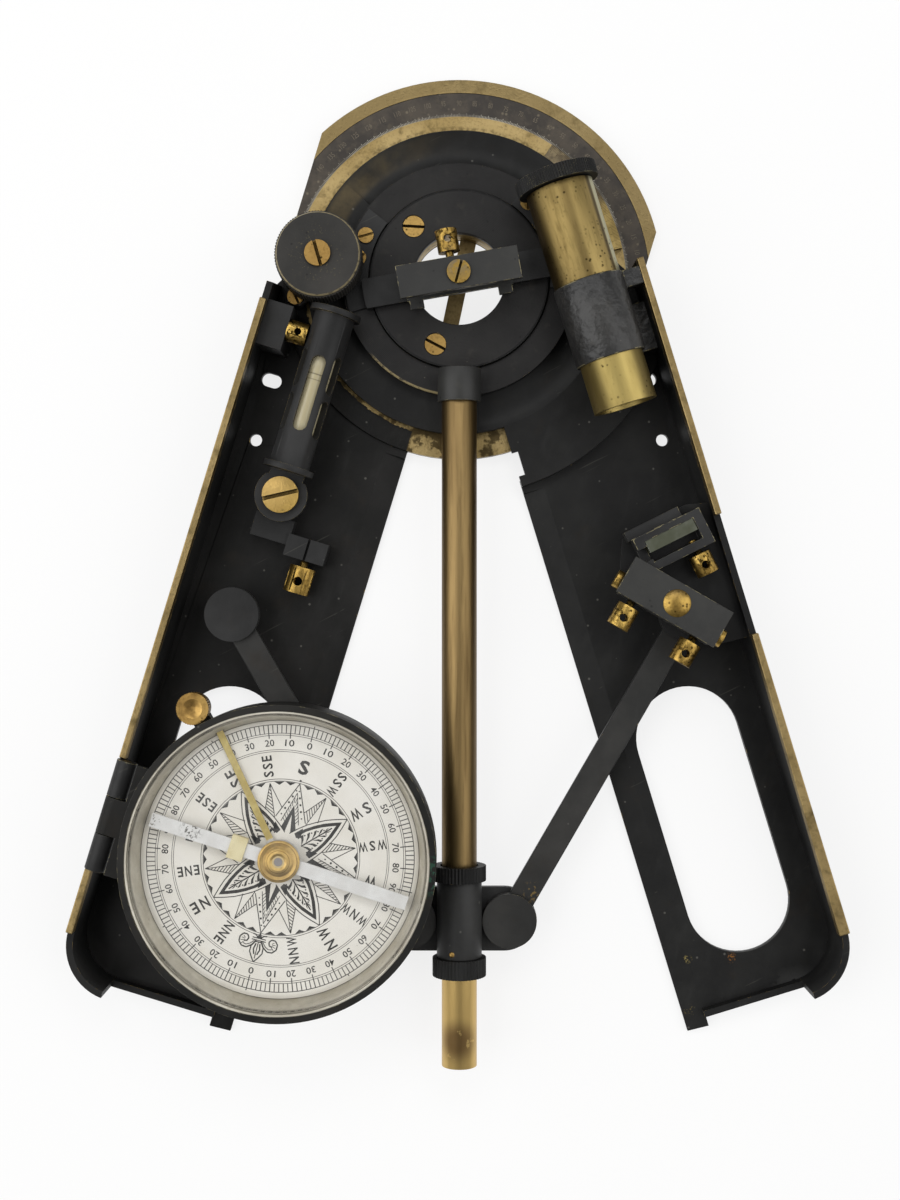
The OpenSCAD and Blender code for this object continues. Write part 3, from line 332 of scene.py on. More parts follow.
def limb_metal():
    """The limb: brass where hands reach it, crusted at its foot, and black on the left leg's side."""
    material, tree, shader, place = finish_start("limb brass", 0.42, 1.0, 0.16)
    wide = blotches(tree, place, 16, 0.35, 0.68)
    colour = tint(tree, wide, "#9a8558", "#b59f6f")
    deep = blotches(tree, place, 4, 0.52, 0.72, 6, seed=2.0)
    colour = tint(tree, deep, colour, "#5e5033", 0.8)
    fine = blotches(tree, place, 0.6, 0.45, 0.75, 3, seed=4.0)
    colour = tint(tree, fine, colour, "#4e4229", 0.35)
    radius, _ = polar(tree, place, PIVOT)
    outer = ramp(tree, radius, 46.5, 48.0)
    colour = tint(tree, outer, colour, "#776848", 0.7)
    low_side = ramp(tree, along_line(tree, place, LEFT_ALONG), 30.0, 33.0)
    blobs = times(tree, low_side, blotches(tree, place, 5, 0.45, 0.52, 4, seed=11.0))
    colour = tint(tree, blobs, colour, "#2a2115", 0.8)
    crust = times(tree, between(tree, radius, 37.5, 38.9, 0.4),
                  blotches(tree, place, 1.6, 0.4, 0.6, 5, seed=12.0))
    colour = tint(tree, crust, colour, "#3a3020", 0.5)
    leg_side = times(tree, ramp(tree, along_line(tree, place, LEFT_SIDE), 0.2, 0.6),
                     ramp(tree, along_line(tree, place, LEFT_ALONG), 3.5, 6.0))
    edge = calc(tree, "MULTIPLY_ADD", blotches(tree, place, 1.4, 0.3, 0.7, 4, seed=13.0), 0.5, 38.1)
    outside = calc(tree, "GREATER_THAN", radius, edge)
    near_pivot = ramp(tree, along_line(tree, place, LEFT_ALONG), 20.0, 8.0)
    black = times(tree, leg_side, joined(tree, outside, near_pivot))
    dust = flecks(tree, place, 2.6, 0.15, 0.85, 1.0)
    coat = tint(tree, dust, tint(tree, wide, "#131312", "#1f1e1c"), "#77756f", 0.45)
    colour = tint(tree, black, colour, coat)
    # painted shade with dirt in corners and close gaps
    dirt_and_shade = crevice(tree, 0.8)
    colour = tint(tree, dirt_and_shade, colour, "#17120a", 0.55)
    wire(tree, shader, {"Base Color": colour, "Metallic": mix_value(tree, black, 1.0, 0.0),
                        "Roughness": mix_value(tree, joined(tree, deep, dirt_and_shade), 0.42, 0.6)})
    relief(tree, shader, joined(tree, fine, blobs), 0.03)
    return material


def tarnished_scale():
    """The limb's silvered band, tarnished almost black, with silvery divisions at its inner edge."""
    material, tree, shader, place = finish_start("tarnished silvered brass", 0.5, 0.35)
    patch = blotches(tree, place, 7, 0.35, 0.65, 6)
    colour = tint(tree, patch, "#302b26", "#463f36")
    stain = blotches(tree, place, 2.2, 0.5, 0.72, 6, seed=2.0)
    colour = tint(tree, stain, colour, "#5a5144", 0.5)
    crust = flecks(tree, place, 1.3, 0.34, 0.35, 3.0)
    colour = tint(tree, crust, colour, "#7d735f", 0.5)
    black = blotches(tree, place, 1.7, 0.6, 0.72, 5, seed=6.0)
    colour = tint(tree, black, colour, "#22201c", 0.7)
    radius, degrees = polar(tree, place, PIVOT)
    worn = blotches(tree, place, 12, 0.3, 0.55, seed=8.0)
    lines = joined(tree, ticks(tree, radius, degrees, 0.5, 0.14, SCALE_FOOT, SCALE_FOOT + 0.6),
                   ticks(tree, radius, degrees, 2.5, 0.14, SCALE_FOOT, SCALE_FOOT + 0.9),
                   between(tree, radius, SCALE_FOOT, SCALE_FOOT + 0.12, 0.04))
    colour = tint(tree, times(tree, lines, worn), colour, "#b5b1a2", 0.75)
    # painted shade with dirt in corners and close gaps
    colour = tint(tree, crevice(tree, 0.7), colour, "#1d1913", 0.6)
    wire(tree, shader, {"Base Color": colour,
                        "Roughness": mix_value(tree, stain, 0.42, 0.62)})
    relief(tree, shader, stain, 0.02)
    return material


def worn_vernier():
    """The vernier: brown and rough where it is touched least, rubbed to brass at the right."""
    material, tree, shader, place = finish_start("worn vernier brass", 0.45, 0.9)
    radius, degrees = polar(tree, place, PIVOT)
    mottle = blotches(tree, place, 3, 0.4, 0.66, 6)
    brown = tint(tree, mottle, "#5b5142", "#85785d")
    brass = tint(tree, mottle, "#94804f", "#b19a62")
    bare = ramp(tree, degrees, 33.0, 26.0)
    colour = tint(tree, bare, brown, brass)
    lines = joined(tree, ticks(tree, radius, degrees, 0.5, 0.09, VERNIER_TOP - 1.5, VERNIER_TOP),
                   ticks(tree, radius, degrees, 2.5, 0.11, VERNIER_TOP - 2.1, VERNIER_TOP))
    colour = tint(tree, lines, colour, "#3a3122", 0.75)
    wire(tree, shader, {"Base Color": colour})
    relief(tree, shader, mottle, 0.03)
    return material


def plain_glass(name, colour, alpha, roughness=0.03, lines=()):
    """Thin polished glass, nearly clear, with soft studio reflections. Each line crosses the left leg's
    vial, as a bubble's end or a mark does: from and to a place along the leg, and a colour."""
    material, tree, shader, place = finish_start(name, roughness)
    smear = blotches(tree, place, 12, 0.4, 0.8)
    shade = tint(tree, smear, colour, "#e4e6e2", 0.25)
    for low, high, line in lines:
        across = between(tree, along_line(tree, place, LEFT_ALONG), low, high, 0.12)
        shade = tint(tree, across, shade, line, 0.7)
    wire(tree, shader, {"Base Color": shade,
                        "Alpha": mix_value(tree, smear, alpha, alpha + 0.05)})
    return material


def printed_dial():
    """Off-white dial paper, printed in dark grey: circles and a degree ring, and painted shade at its
    edge.
    """
    material, tree, shader, place = finish_start("printed dial paper", 0.55, gloss=0.2)
    age = blotches(tree, place, 18, 0.35, 0.7)
    colour = tint(tree, age, "#d9d5cb", "#e4e1da")
    fox = blotches(tree, place, 6, 0.6, 0.85, seed=2.0)
    colour = tint(tree, fox, colour, "#cfc4ab", 0.5)
    dots = flecks(tree, place, 3.0, 0.08, 0.3, 3.0)
    colour = tint(tree, dots, colour, "#8d877a", 0.6)
    radius, degrees = polar(tree, place, PRINT)
    rings = [between(tree, radius, r, r + wide, 0.03) for r, wide in DIAL_CIRCLES]
    lines = joined(tree, *rings, ticks(tree, radius, degrees, 2.0, 0.22, 29.2, DEGREES_TOP, DIAL_N),
                   ticks(tree, radius, degrees, 10.0, 0.24, 28.1, DEGREES_TOP, DIAL_N))
    colour = tint(tree, lines, colour, INK)
    # painted shade at the dial's outer edge, by the bezel
    shade = ramp(tree, polar(tree, place, CASE)[0], 31.0, 32.6)
    colour = tint(tree, shade, colour, "#a39d8e", 0.5)
    wire(tree, shader, {"Base Color": colour})
    return material


def print_ink(name, colour):
    """Printer's ink, slightly uneven."""
    material, tree, shader, place = finish_start(name, 0.6, gloss=0.2)
    thin = blotches(tree, place, 0.8, 0.45, 0.75, 3)
    wire(tree, shader, {"Base Color": tint(tree, thin, colour, "#6a6762", 0.3)})
    return material


def painted(name, light, dark, stain, marks=()):
    """Brushed paint on steel, chipped and stained."""
    material, tree, shader, place = finish_start(name, 0.5, gloss=0.25)
    wash = blotches(tree, place, 5, 0.35, 0.7)
    colour = tint(tree, wash, dark, light)
    chips = flecks(tree, place, 1.6, 0.16, 0.3, 2.0)
    colour = tint(tree, chips, colour, stain, 0.6)
    colour = marked(tree, place, colour, marks)
    wire(tree, shader, {"Base Color": colour})
    return material


def silvered():
    """The compass's inner ring: matt silvering gone cream, brown at its foot, with fine pits."""
    material, tree, shader, place = finish_start("silvered brass", 0.45, 0.5)
    cloud = blotches(tree, place, 10, 0.35, 0.7)
    colour = tint(tree, cloud, "#bab4a5", "#d6d1c3")
    spots = blotches(tree, place, 1.5, 0.55, 0.8, 5, seed=3.0)
    colour = tint(tree, spots, colour, "#7d745c", 0.6)
    pits = flecks(tree, place, 1.1, 0.14, 0.22, 4.0)
    colour = tint(tree, pits, colour, "#5c5442", 0.7)
    radius, _ = polar(tree, place, CASE)
    foot = times(tree, ramp(tree, radius, 34.3, 33.0), blotches(tree, place, 4, 0.3, 0.6, seed=5.0))
    colour = tint(tree, foot, colour, "#968b70", 0.4)
    # painted shade with dirt in corners and close gaps
    colour = tint(tree, crevice(tree, 0.8), colour, "#4a4232", 0.6)
    wire(tree, shader, {"Base Color": colour})
    return material


def lifting_brass():
    """The lifter: a pale brass spring strip with a plain whitened ring round the pivot."""
    material, tree, shader, place = finish_start("pale spring brass", 0.45)
    radius, _ = polar(tree, place, CASE)
    ring = ramp(tree, radius, 5.6, 5.2)
    mottle = blotches(tree, place, 2.5, 0.4, 0.7, 4)
    strip = tint(tree, mottle, "#b39f5e", "#c9b878")
    colour = tint(tree, ring, strip, tint(tree, mottle, "#bab7b1", "#c9c6c0"))
    wire(tree, shader, {"Base Color": colour,
                        "Metallic": mix_value(tree, ring, 0.7, 0.0)})
    return material


def capped_brass():
    """The needle's turned cap: dull yellow brass, dark rings of painted groove shade, and a grey jewel.
    """
    material, tree, shader, place = finish_start("turned cap brass", 0.5, 1.0)
    radius, _ = polar(tree, place, CASE)
    mottle = blotches(tree, place, 2.2, 0.4, 0.7, 5)
    colour = tint(tree, mottle, "#c6a869", "#b39557")
    dull = times(tree, between(tree, radius, 2.9, 4.3, 0.4),
                 blotches(tree, place, 3.0, 0.3, 0.6, seed=2.0))
    colour = tint(tree, dull, colour, "#a98c5a", 0.6)
    stain = blotches(tree, place, 1.6, 0.52, 0.75, 5, seed=4.0)
    colour = tint(tree, stain, colour, "#8f5a34", 0.4)
    # painted shade of two turned grooves, as dark rings
    for ring in (2.55, 4.25):
        colour = tint(tree, between(tree, radius, ring, ring + 0.14, 0.06), colour, "#6b4f22", 0.8)
    colour = tint(tree, between(tree, radius, 1.05, 1.4, 0.08), colour, "#d8cba4", 0.7)
    jewel = ramp(tree, radius, 1.05, 0.95)
    colour = tint(tree, jewel, colour, "#84807f")
    wire(tree, shader, {"Base Color": colour,
                        "Metallic": mix_value(tree, jewel, 1.0, 0.0)})
    return material


def mirror_silver():
    """Old silvered mirror glass."""
    material, tree, shader, place = finish_start("silvered mirror glass", 0.08, 1.0)
    worn = blotches(tree, place, 3, 0.6, 0.8)
    wire(tree, shader, {"Base Color": tint(tree, worn, "#b9bdbb", "#6c6a60")})
    return material


def at_left(side, along, z=0.0):
    """A point in the left leg's frame, as the CAD places it, in metres."""
    return (Vector(LEFT_SIDE) * side + Vector(LEFT_ALONG) * along + Vector((0, 0, z))) * MM


def at_right(side, along, z=0.0):
    """The same in the right leg's frame."""
    return (Vector(RIGHT_SIDE) * side + Vector(RIGHT_ALONG) * along + Vector((0, 0, z))) * MM


def at_mm(x, y, z):
    """A point in millimetres, as an input in metres takes it."""
    return Vector((x, y, z)) * MM


# Places that several finishes share, in millimetres but for CASE and PRINT
SIN, COS = math.sin(HALF_OPEN), math.cos(HALF_OPEN)
LEFT_SIDE, LEFT_ALONG = (-COS, SIN, 0), (-SIN, -COS, 0)
RIGHT_SIDE, RIGHT_ALONG = (COS, SIN, 0), (SIN, -COS, 0)
CASE = at_left(-0.5, 145.4)
PRINT = CASE + at_mm(0.13, 0.29, 0)                  # the print sits a little off the case's centre
PIVOT = (0, 0)
DIAL_N = 255.3                                       # direction of the dial's north, in degrees from +X
SCALE_FOOT = 41.5                                    # inner radius of the limb's silvered band
VERNIER_TOP = 41.3                                   # outer radius of the vernier
DEGREES_TOP = 31.3                                   # outer radius of the dial's degree ring
DIAL_CIRCLES = ((31.2, 0.2), (29.22, 0.13), (28.76, 0.13), (25.36, 0.12), (24.93, 0.12), (18.5, 0.14),
                (18.02, 0.14))                       # radius and width of each printed circle
CAPSTANS = ((41.3, -79.7), (54.7, -87.4), (58.3, -66.1), (-41.0, -10.5), (-38.0, -66.0), (-1.0, 11.0))
KNOB = (-33.77, 3.97)
ALL_ROUND = (-200, 200)                              # every direction, in degrees
WORN_ARC = (-138, -90)                               # where the index ring is worn most, in degrees
INK = "#2f2d2b"

tip_marks = [(at_right(28.9, 194.0, 2.5), 9, "#3f3f3e", 3.0, 0.16),
             (at_right(15.8, 179.8, 2), 1.7, "#7a5228", 0.6, 0.1),
             (at_right(5.3, 177.1, 2), 1.4, "#857848", 0.6, 0.1),
             (at_right(2.0, 189.6, 2), 2, "#6d6038", 0.6, 0.06)]
lacquer_left = black_lacquer("black stoved lacquer, left leg", "#171716", "#252423", 0.42)
lacquer_right = black_lacquer("black stoved lacquer, right leg", "#1a1a1a", "#262625", 0.42,
                              marks=tip_marks, rubs=[(31.8, 37.0, 85, 155, "#5d5138")])
lacquer_cast = black_lacquer("black lacquer on castings", "#1d1d1d", "#303030", 0.48, 0.15, 0.15,
                             gloss=0.25)
lacquer_matt = black_lacquer("matt black lacquer", "#181818", "#262625", 0.5, 0.1, 0.2)
lacquer_sleeve = black_lacquer("black lacquer, slider sleeve", "#282828", "#363635", 0.48, 0.15, 0.2,
                               gloss=0.25)
lacquer_case = black_lacquer("black lacquer, compass case", "#1c1c1b", "#2c2b29", 0.5, 0.3, 0.2,
                             gloss=0.12, marks=[(at_left(-36.2, 137.0, 30), 7, "#2b4f3f", 1.5, 0.1)])
lacquer_link = black_lacquer("black lacquer on the links", "#252524", "#383735", 0.45, 0.3, 0.15,
                             gloss=0.25, marks=[(at_mm(17.6, -149.6, 11), 3.2, "#6f5c36", 0.9, 0.09),
                                                (at_mm(19.6, -158.0, 20), 2.6, "#7a6740", 0.9, 0.1)])
edge_brass = worn_edge("lacquer rubbed at the edges", "#1a1a19", "#8f7946", 0.6)
edge_corner = worn_edge("lacquer rubbed through at the edges", "#1a1a19", "#9a834e", 0.52)
edge_dark = worn_edge("bronzing hardly rubbed at the edges", "#191918", "#8a7a52", 0.64)
edge_grey = worn_edge("bronzing rubbed at the edges", "#33322f", "#8f8769", 0.5)
edge_window = worn_edge("window edge rubbed to brass", "#33322f", "#8f7f55", 0.42)
edge_ring = worn_edge("ring edge rubbed to brass", "#33322f", "#a08a55", 0.52, PIVOT, WORN_ARC)
edge_knob = worn_edge("knob edge rubbed to brass", "#3b3830", "#9c8a58", 0.44)
bronze_ring = bronzed("bronzed turned ring", "#1a1919", "#262524", 0.46, PIVOT,
                      rims=[(28.0, 29.0, *WORN_ARC, "#8a7c58")])
# The pivot cap's black rim is painted shade in the groove between its inner disc and outer ring.
bronze_cap = bronzed("bronzed pivot cap", "#1d1c1c", "#282726", 0.46, PIVOT,
                     rims=[(21.4, 22.3, *ALL_ROUND, "#070707")])
bronze_knob = bronzed("bronzed knob brass", "#2c2b29", "#3b3936", 0.5, at_mm(*KNOB, 0), 0.3,
                      rims=[(9.75, 10.05, *ALL_ROUND, "#9a8d6c")],
                      marks=[(at_mm(*KNOB, 19.6), 9, "#5f573f", 0.45, 0.02)])
bronze_flat = bronzed("bronzed filed brass", "#2b2b2a", "#363634", 0.45, gloss=0.3)
bronze_scope = bronzed("bronzed telescope collar", "#1d1d1d", "#2f2e2c", 0.4, lumps_mm=2.2, gloss=0.5)
rim_brass = aged_brass("khaki aged brass", "#a08b60", "#8a7750", "#554a30", 0.42)
limb_brass = limb_metal()
bush_brass = aged_brass("bush brass", "#a8925f", "#8f7b50", "#5f5236", 0.42)
# The rod's first two bands are painted shade on its round: a dark left edge and a darker right side.
# The third makes it lighter and golden below the slider.
rod_brass = aged_brass(
    "drawn rod brass", "#957e54", "#7f6946", "#57452c", 0.42, (1, 0.05, 1),
    bands=[("#4a3b26", 0.5, ((-1, 0, 0), 3.6, 4.3)), ("#57462c", 0.6, ((1, 0, 0), 0.2, 3.6)),
           ("#d9b976", 0.9, ((0, -1, 0), 162.0, 168.0))],
    marks=[(at_mm(-0.5, -184.5, 16), 6.5, "#8b7049", 3.0, 0.26)])
# The tube's bands are painted light on its round: painted shade down its left side, darker lines of
# painted shade down its middle and near its right edge, and a painted highlight along its right edge.
# Past 31 mm along the leg the tube is lighter, with painted shade at both sides.
tube_brass = aged_brass(
    "pitted tube brass", "#a8935e", "#927e4f", "#655531", 0.5, (1, 0.2, 1), -HALF_OPEN, 0.8,
    bands=[("#2a2114", 0.85, (RIGHT_SIDE, 23.2, 20.8)),
           ("#57482c", 0.5, (RIGHT_SIDE, 26.8, 28.4), (RIGHT_SIDE, 30.0, 28.8)),
           ("#3a3020", 0.8, (RIGHT_SIDE, 34.0, 34.7), (RIGHT_SIDE, 35.4, 35.0)),
           ("#b3b194", 0.85, (RIGHT_SIDE, 35.0, 35.5)),
           ("#c4af6c", 0.75, (RIGHT_ALONG, 28.0, 31.0)),
           ("#4f4326", 0.75, (RIGHT_ALONG, 28.0, 31.0), (RIGHT_SIDE, 25.4, 22.6)),
           ("#4f4326", 0.75, (RIGHT_ALONG, 28.0, 31.0), (RIGHT_SIDE, 31.4, 34.0))])
screw_brass = aged_brass("orange screw brass", "#bd9b5b", "#a3824a", "#5f4826", 0.4, pits=0.5,
                         grime_and_shade=0.95, slots=True)
capstan_brass = aged_brass(
    "yellow capstan brass", "#c9a85a", "#a98a48", "#5a4520", 0.36, pits=0.6, grime_and_shade=0.95, slots=True,
    marks=[(at_mm(x, y, 16), 12, "#33260f", 0.8, 0.09) for x, y in CAPSTANS] + [
        (at_mm(-0.3, 3.1, 24), 7, "#8f8062", 1.6, 0.2),
        (at_mm(50.5, -73, 22), 7, "#7d6843", 1.5, 0.32),
        (at_mm(-45.4, -50.8, 18), 10, "#d8b671", 4.0, 0.45)])
scale_band = tarnished_scale()
vernier_band = worn_vernier()
glass_green = plain_glass("greenish plate glass", "#505344", 0.9, 0.12)
glass_lens = plain_glass("lens glass", "#c9d2d0", 0.35)
glass_vial = plain_glass("vial of pale spirit", "#c4b995", 0.95, 0.16, [
    (33.2, 33.5, "#5d5644"), (34.6, 34.8, "#6d6550"), (50.5, 50.8, "#6d6550")])
glass_cover = plain_glass("compass cover glass", "#eef0ee", 0.015)
dial_paper = printed_dial()
ink = print_ink("printers ink", INK)
ink_faint = print_ink("faint engraved numerals", "#665e50")
needle_paint = painted("white needle paint", "#dcdcda", "#cfcecb", "#8d8a84", [
    (CASE + at_mm(-20.3, 7.4, 28.5), 3.4, "#4c4843", 0.6, 0.1),
    (CASE + at_mm(-29, 9.5, 28.5), 2.4, "#6d685f", 0.7, 0.06)])
rider_paint = painted("cream rider paint", "#d9cfa8", "#c8bb90", "#9d9066")
silver_ring = silvered()
silver_mirror = mirror_silver()
strip_brass = lifting_brass()
cap_brass = capped_brass()

# Each CAD piece's finish, the finish of its edges and how far they are softened, in millimetres
FINISH = {
    "left_leg_plate": (lacquer_left, edge_brass, 0.18),
    "right_leg_plate": (lacquer_right, edge_brass, 0.18),
    "left_leg_wall": (lacquer_matt, edge_corner, 0.15),
    "right_leg_wall": (lacquer_matt, edge_corner, 0.15),
    "left_leg_rim": (rim_brass, rim_brass, 0.25),
    "right_leg_rim": (rim_brass, rim_brass, 0.25),
    "limb_plate": (limb_brass, limb_brass, 0.15),
    "limb_scale": (scale_band, scale_band, 0),
    "pivot_bush": (bush_brass, bush_brass, 0.1),
    "pivot_cap": (bronze_cap, edge_dark, 0.15),
    "hub_screws": (screw_brass, screw_brass, 0.1),
    "station_bar": (rim_brass, rim_brass, 0.1),
    "pinion_cock": (lacquer_cast, edge_brass, 0.15),
    "level_housing": (lacquer_cast, edge_window, 0.3),
    "level_vial": (glass_vial, glass_vial, 0.3),
    "level_screws": (capstan_brass, capstan_brass, 0.15),
    "level_brackets": (lacquer_cast, edge_brass, 0.2),
    "left_link_stud": (lacquer_cast, edge_dark, 0.2),
    "right_link_stud": (lacquer_cast, edge_dark, 0.2),
    "hinge_fixed_leaf": (lacquer_cast, edge_grey, 0.15),
    "hinge_pin": (rim_brass, rim_brass, 0.1),
    "vernier": (vernier_band, vernier_band, 0.1),
    "telescope_collar": (bronze_scope, edge_grey, 0.25),
    "telescope_tube": (tube_brass, tube_brass, 0.1),
    "objective_lens": (glass_lens, glass_lens, 0.2),
    "horizon_bracket": (lacquer_matt, edge_brass, 0.15),
    "horizon_glass_frame": (lacquer_cast, edge_grey, 0.12),
    "horizon_glass": (glass_green, glass_green, 0.1),
    "horizon_mirror_box": (bronze_flat, edge_grey, 0.12),
    "horizon_mirror": (silver_mirror, silver_mirror, 0.1),
    "horizon_screws": (capstan_brass, capstan_brass, 0.12),
    "index_ring": (bronze_ring, edge_ring, 0.15),
    "rod_collar": (bronze_flat, edge_grey, 0.2),
    "rod": (rod_brass, rod_brass, 0.4),
    "mirror_bridge": (lacquer_cast, edge_brass, 0.12),
    "bridge_screws": (screw_brass, screw_brass, 0.05),
    "index_mirror_frame": (bronze_flat, edge_grey, 0.12),
    "index_mirror": (silver_mirror, silver_mirror, 0.1),
    "index_screws": (capstan_brass, capstan_brass, 0.12),
    "left_link": (lacquer_link, edge_dark, 0.2),
    "right_link": (lacquer_link, edge_dark, 0.2),
    "slider_sleeve": (lacquer_sleeve, edge_brass, 0.15),
    "slider_pivots": (lacquer_link, edge_grey, 0.2),
    "upper_nut": (lacquer_matt, edge_brass, 0.05),
    "lower_nut": (lacquer_matt, edge_brass, 0.05),
    "knob": (bronze_knob, edge_knob, 0.1),
    "pinion": (bush_brass, bush_brass, 0.05),
    "knob_screw": (screw_brass, screw_brass, 0.12),
    "compass_case": (lacquer_case, edge_grey, 0.3),
    "compass_bezel": (silver_ring, silver_ring, 0.1),
    "compass_glass": (glass_cover, glass_cover, 0),
    "compass_dial": (dial_paper, dial_paper, 0),
    "lifter": (strip_brass, strip_brass, 0.05),
    "lifter_screw": (screw_brass, screw_brass, 0.05),
    "needle": (needle_paint, needle_paint, 0.05),
    "needle_cap": (cap_brass, cap_brass, 0.15),
    "needle_rider": (rider_paint, rider_paint, 0.05),
    "draw_tube": (tube_brass, tube_brass, 0.1),
    "eyepiece_ring": (lacquer_matt, edge_grey, 0.04),
    "eye_lens": (glass_lens, glass_lens, 0.1),
}


WELD_MM = 0.002                                      # points of a CAD mesh this close count as one
EDGE_ANGLE = 40                                      # sharper edges than this are softened, in degrees


def dress(name, finish, edge, edge_mm):
    """Gives a CAD node its finish, and softens its edges without touching its mesh."""
    piece = cad[name]
    piece.data.materials.clear()
    piece.data.materials.append(finish)
    piece.data.materials.append(edge)
    if not edge_mm:
        return
    weld = piece.modifiers.new("weld", "WELD")
    weld.merge_threshold = WELD_MM * MM
    soften = piece.modifiers.new("soften", "BEVEL")
    soften.width = edge_mm * MM
    soften.segments = 2
    soften.limit_method = "ANGLE"
    soften.angle_limit = math.radians(EDGE_ANGLE)
    soften.use_clamp_overlap = True
    soften.harden_normals = False
    soften.material = 1                              # the edge's own finish


for node_name, (finish, edge, edge_mm) in FINISH.items():
    dress(node_name, finish, edge, edge_mm)


def new_piece(name, bm, material):
    """An object of a finished mesh, in one material."""
    mesh = bpy.data.meshes.new(name)
    bm.to_mesh(mesh)
    bm.free()
    mesh.materials.append(material)
    piece = bpy.data.objects.new(name, mesh)
    bpy.context.scene.collection.objects.link(piece)
    return piece


# The dial's print and the limb's numerals are flat inked shapes, a hair above their ground

def flat_piece(name, faces, z_mm, material, body):
    """One object of flat faces, each a list of points in millimetres."""
    bm = bmesh.new()
    for points in faces:
        face = bm.faces.new([bm.verts.new((x * MM, y * MM, z_mm * MM)) for x, y in points])
        face.normal_update()
        if face.normal.z < 0:
            face.normal_flip()
    piece = new_piece(name, bm, material)
    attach(piece, body)


def glyphs(body, weight=0.0):
    """A word's outlines as flat faces, scaled to 1 wide and 1 tall about its middle."""
    curve = bpy.data.curves.new("word", "FONT")
    curve.body = body
    curve.offset = weight
    curve.resolution_u = 2
    holder = bpy.data.objects.new("word", curve)
    bpy.context.scene.collection.objects.link(holder)
    graph = bpy.context.evaluated_depsgraph_get()
    mesh = bpy.data.meshes.new_from_object(holder.evaluated_get(graph))
    xs = [v.co.x for v in mesh.vertices]
    ys = [v.co.y for v in mesh.vertices]
    wide, tall = max(xs) - min(xs), max(ys) - min(ys)
    middle_x, middle_y = (max(xs) + min(xs)) / 2, (max(ys) + min(ys)) / 2
    faces = [[((mesh.vertices[i].co.x - middle_x) / wide, (mesh.vertices[i].co.y - middle_y) / tall)
              for i in p.vertices] for p in mesh.polygons]
    bpy.data.objects.remove(holder)
    bpy.data.curves.remove(curve)
    bpy.data.meshes.remove(mesh)
    return faces


def set_down(faces, width, height, centre, turn):
    """Faces scaled to a size, turned by degrees and put at a centre, in millimetres."""
    c, s = math.cos(math.radians(turn)), math.sin(math.radians(turn))
    return [[(centre[0] + x * width * c - y * height * s, centre[1] + x * width * s + y * height * c)
             for x, y in points] for points in faces]


def spoke(radius, direction, centre=(0.0, 0.0)):
    """A point at a radius and a direction in degrees from +X, in millimetres."""
    a = math.radians(direction)
    return centre[0] + radius * math.cos(a), centre[1] + radius * math.sin(a)


PRINT_MM = (PRINT.x / MM, PRINT.y / MM)
INK_LIFT = 0.02                                      # height of ink over its ground
DIAL_POINT = 2.2                                     # height of the dial's point over its face
DIAL_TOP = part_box("compass_dial")[1].z / MM - DIAL_POINT + INK_LIFT
LIMB_SCALE_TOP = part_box("limb_scale")[1].z / MM + INK_LIFT


def rose(radius, bearing):
    """A point of the dial's print: bearings run clockwise from its north."""
    return spoke(radius, DIAL_N - bearing, PRINT_MM)


def line(points, width):
    """A polyline of that width, as quads."""
    faces = []
    for (x0, y0), (x1, y1) in zip(points, points[1:]):
        long = math.hypot(x1 - x0, y1 - y0)
        nx, ny = (y0 - y1) / long * width / 2, (x1 - x0) / long * width / 2
        faces.append([(x0 + nx, y0 + ny), (x0 - nx, y0 - ny), (x1 - nx, y1 - ny), (x1 + nx, y1 + ny)])
    return faces


def disc(radius, bearing, size):
    """A dot of six sides in the dial's print."""
    return [[spoke(size, turn, rose(radius, bearing)) for turn in range(0, 360, 60)]]


# Letters stand on the east side reading outwards and on the west side reading inwards
POINTS = "N NNE NE ENE E ESE SE SSE S SSW SW WSW W WNW NW NNW".split()
SIZES = {1: (2.3, 3.0, 0.0), 2: (2.0, 2.75, 0.85), 3: (1.6, 2.35, 0.5)}  # width, height, gap by length
SHARES = {"N": 1.0, "E": 0.8, "S": 0.85, "W": 1.3}                       # of that width, by letter
LETTERS_AT = 21.7
shapes = {letter: glyphs(letter, 0.022) for letter in "NESW"}
letters = set_down(glyphs("S", 0.035), 2.4, 3.4, rose(LETTERS_AT + 0.2, 180), DIAL_N - 180 - 90)
for number in (*range(7, 0, -1), *range(15, 8, -1)):
    word, bearing = POINTS[number], 22.5 * number
    unit, tall, gap = SIZES[len(word)]
    way, turn = (1, 0) if bearing < 180 else (-1, 180)
    reach = -(sum(SHARES[letter] for letter in word) * unit + gap * (len(word) - 1)) / 2
    for letter in word:
        wide = SHARES[letter] * unit
        middle = rose(LETTERS_AT + (reach + wide / 2) * way, bearing)
        letters += set_down(shapes[letter], wide, tall, middle, DIAL_N - bearing + turn)
        reach += wide + gap
flat_piece("dial_letters", letters, DIAL_TOP, ink, "compass")

# Degrees count up to 90 and back in each half of the dial
NUMERALS_AT = 27.05
numerals = []
for bearing in range(0, 360, 10):
    degree = bearing % 180
    text = str(degree if degree <= 90 else 180 - degree)
    numerals += set_down(glyphs(text, 0.012), 1.25 if text == "0" else 2.2, 1.6,
                         rose(NUMERALS_AT, bearing), DIAL_N - bearing - 90)
flat_piece("dial_numerals", numerals, DIAL_TOP, ink, "compass")

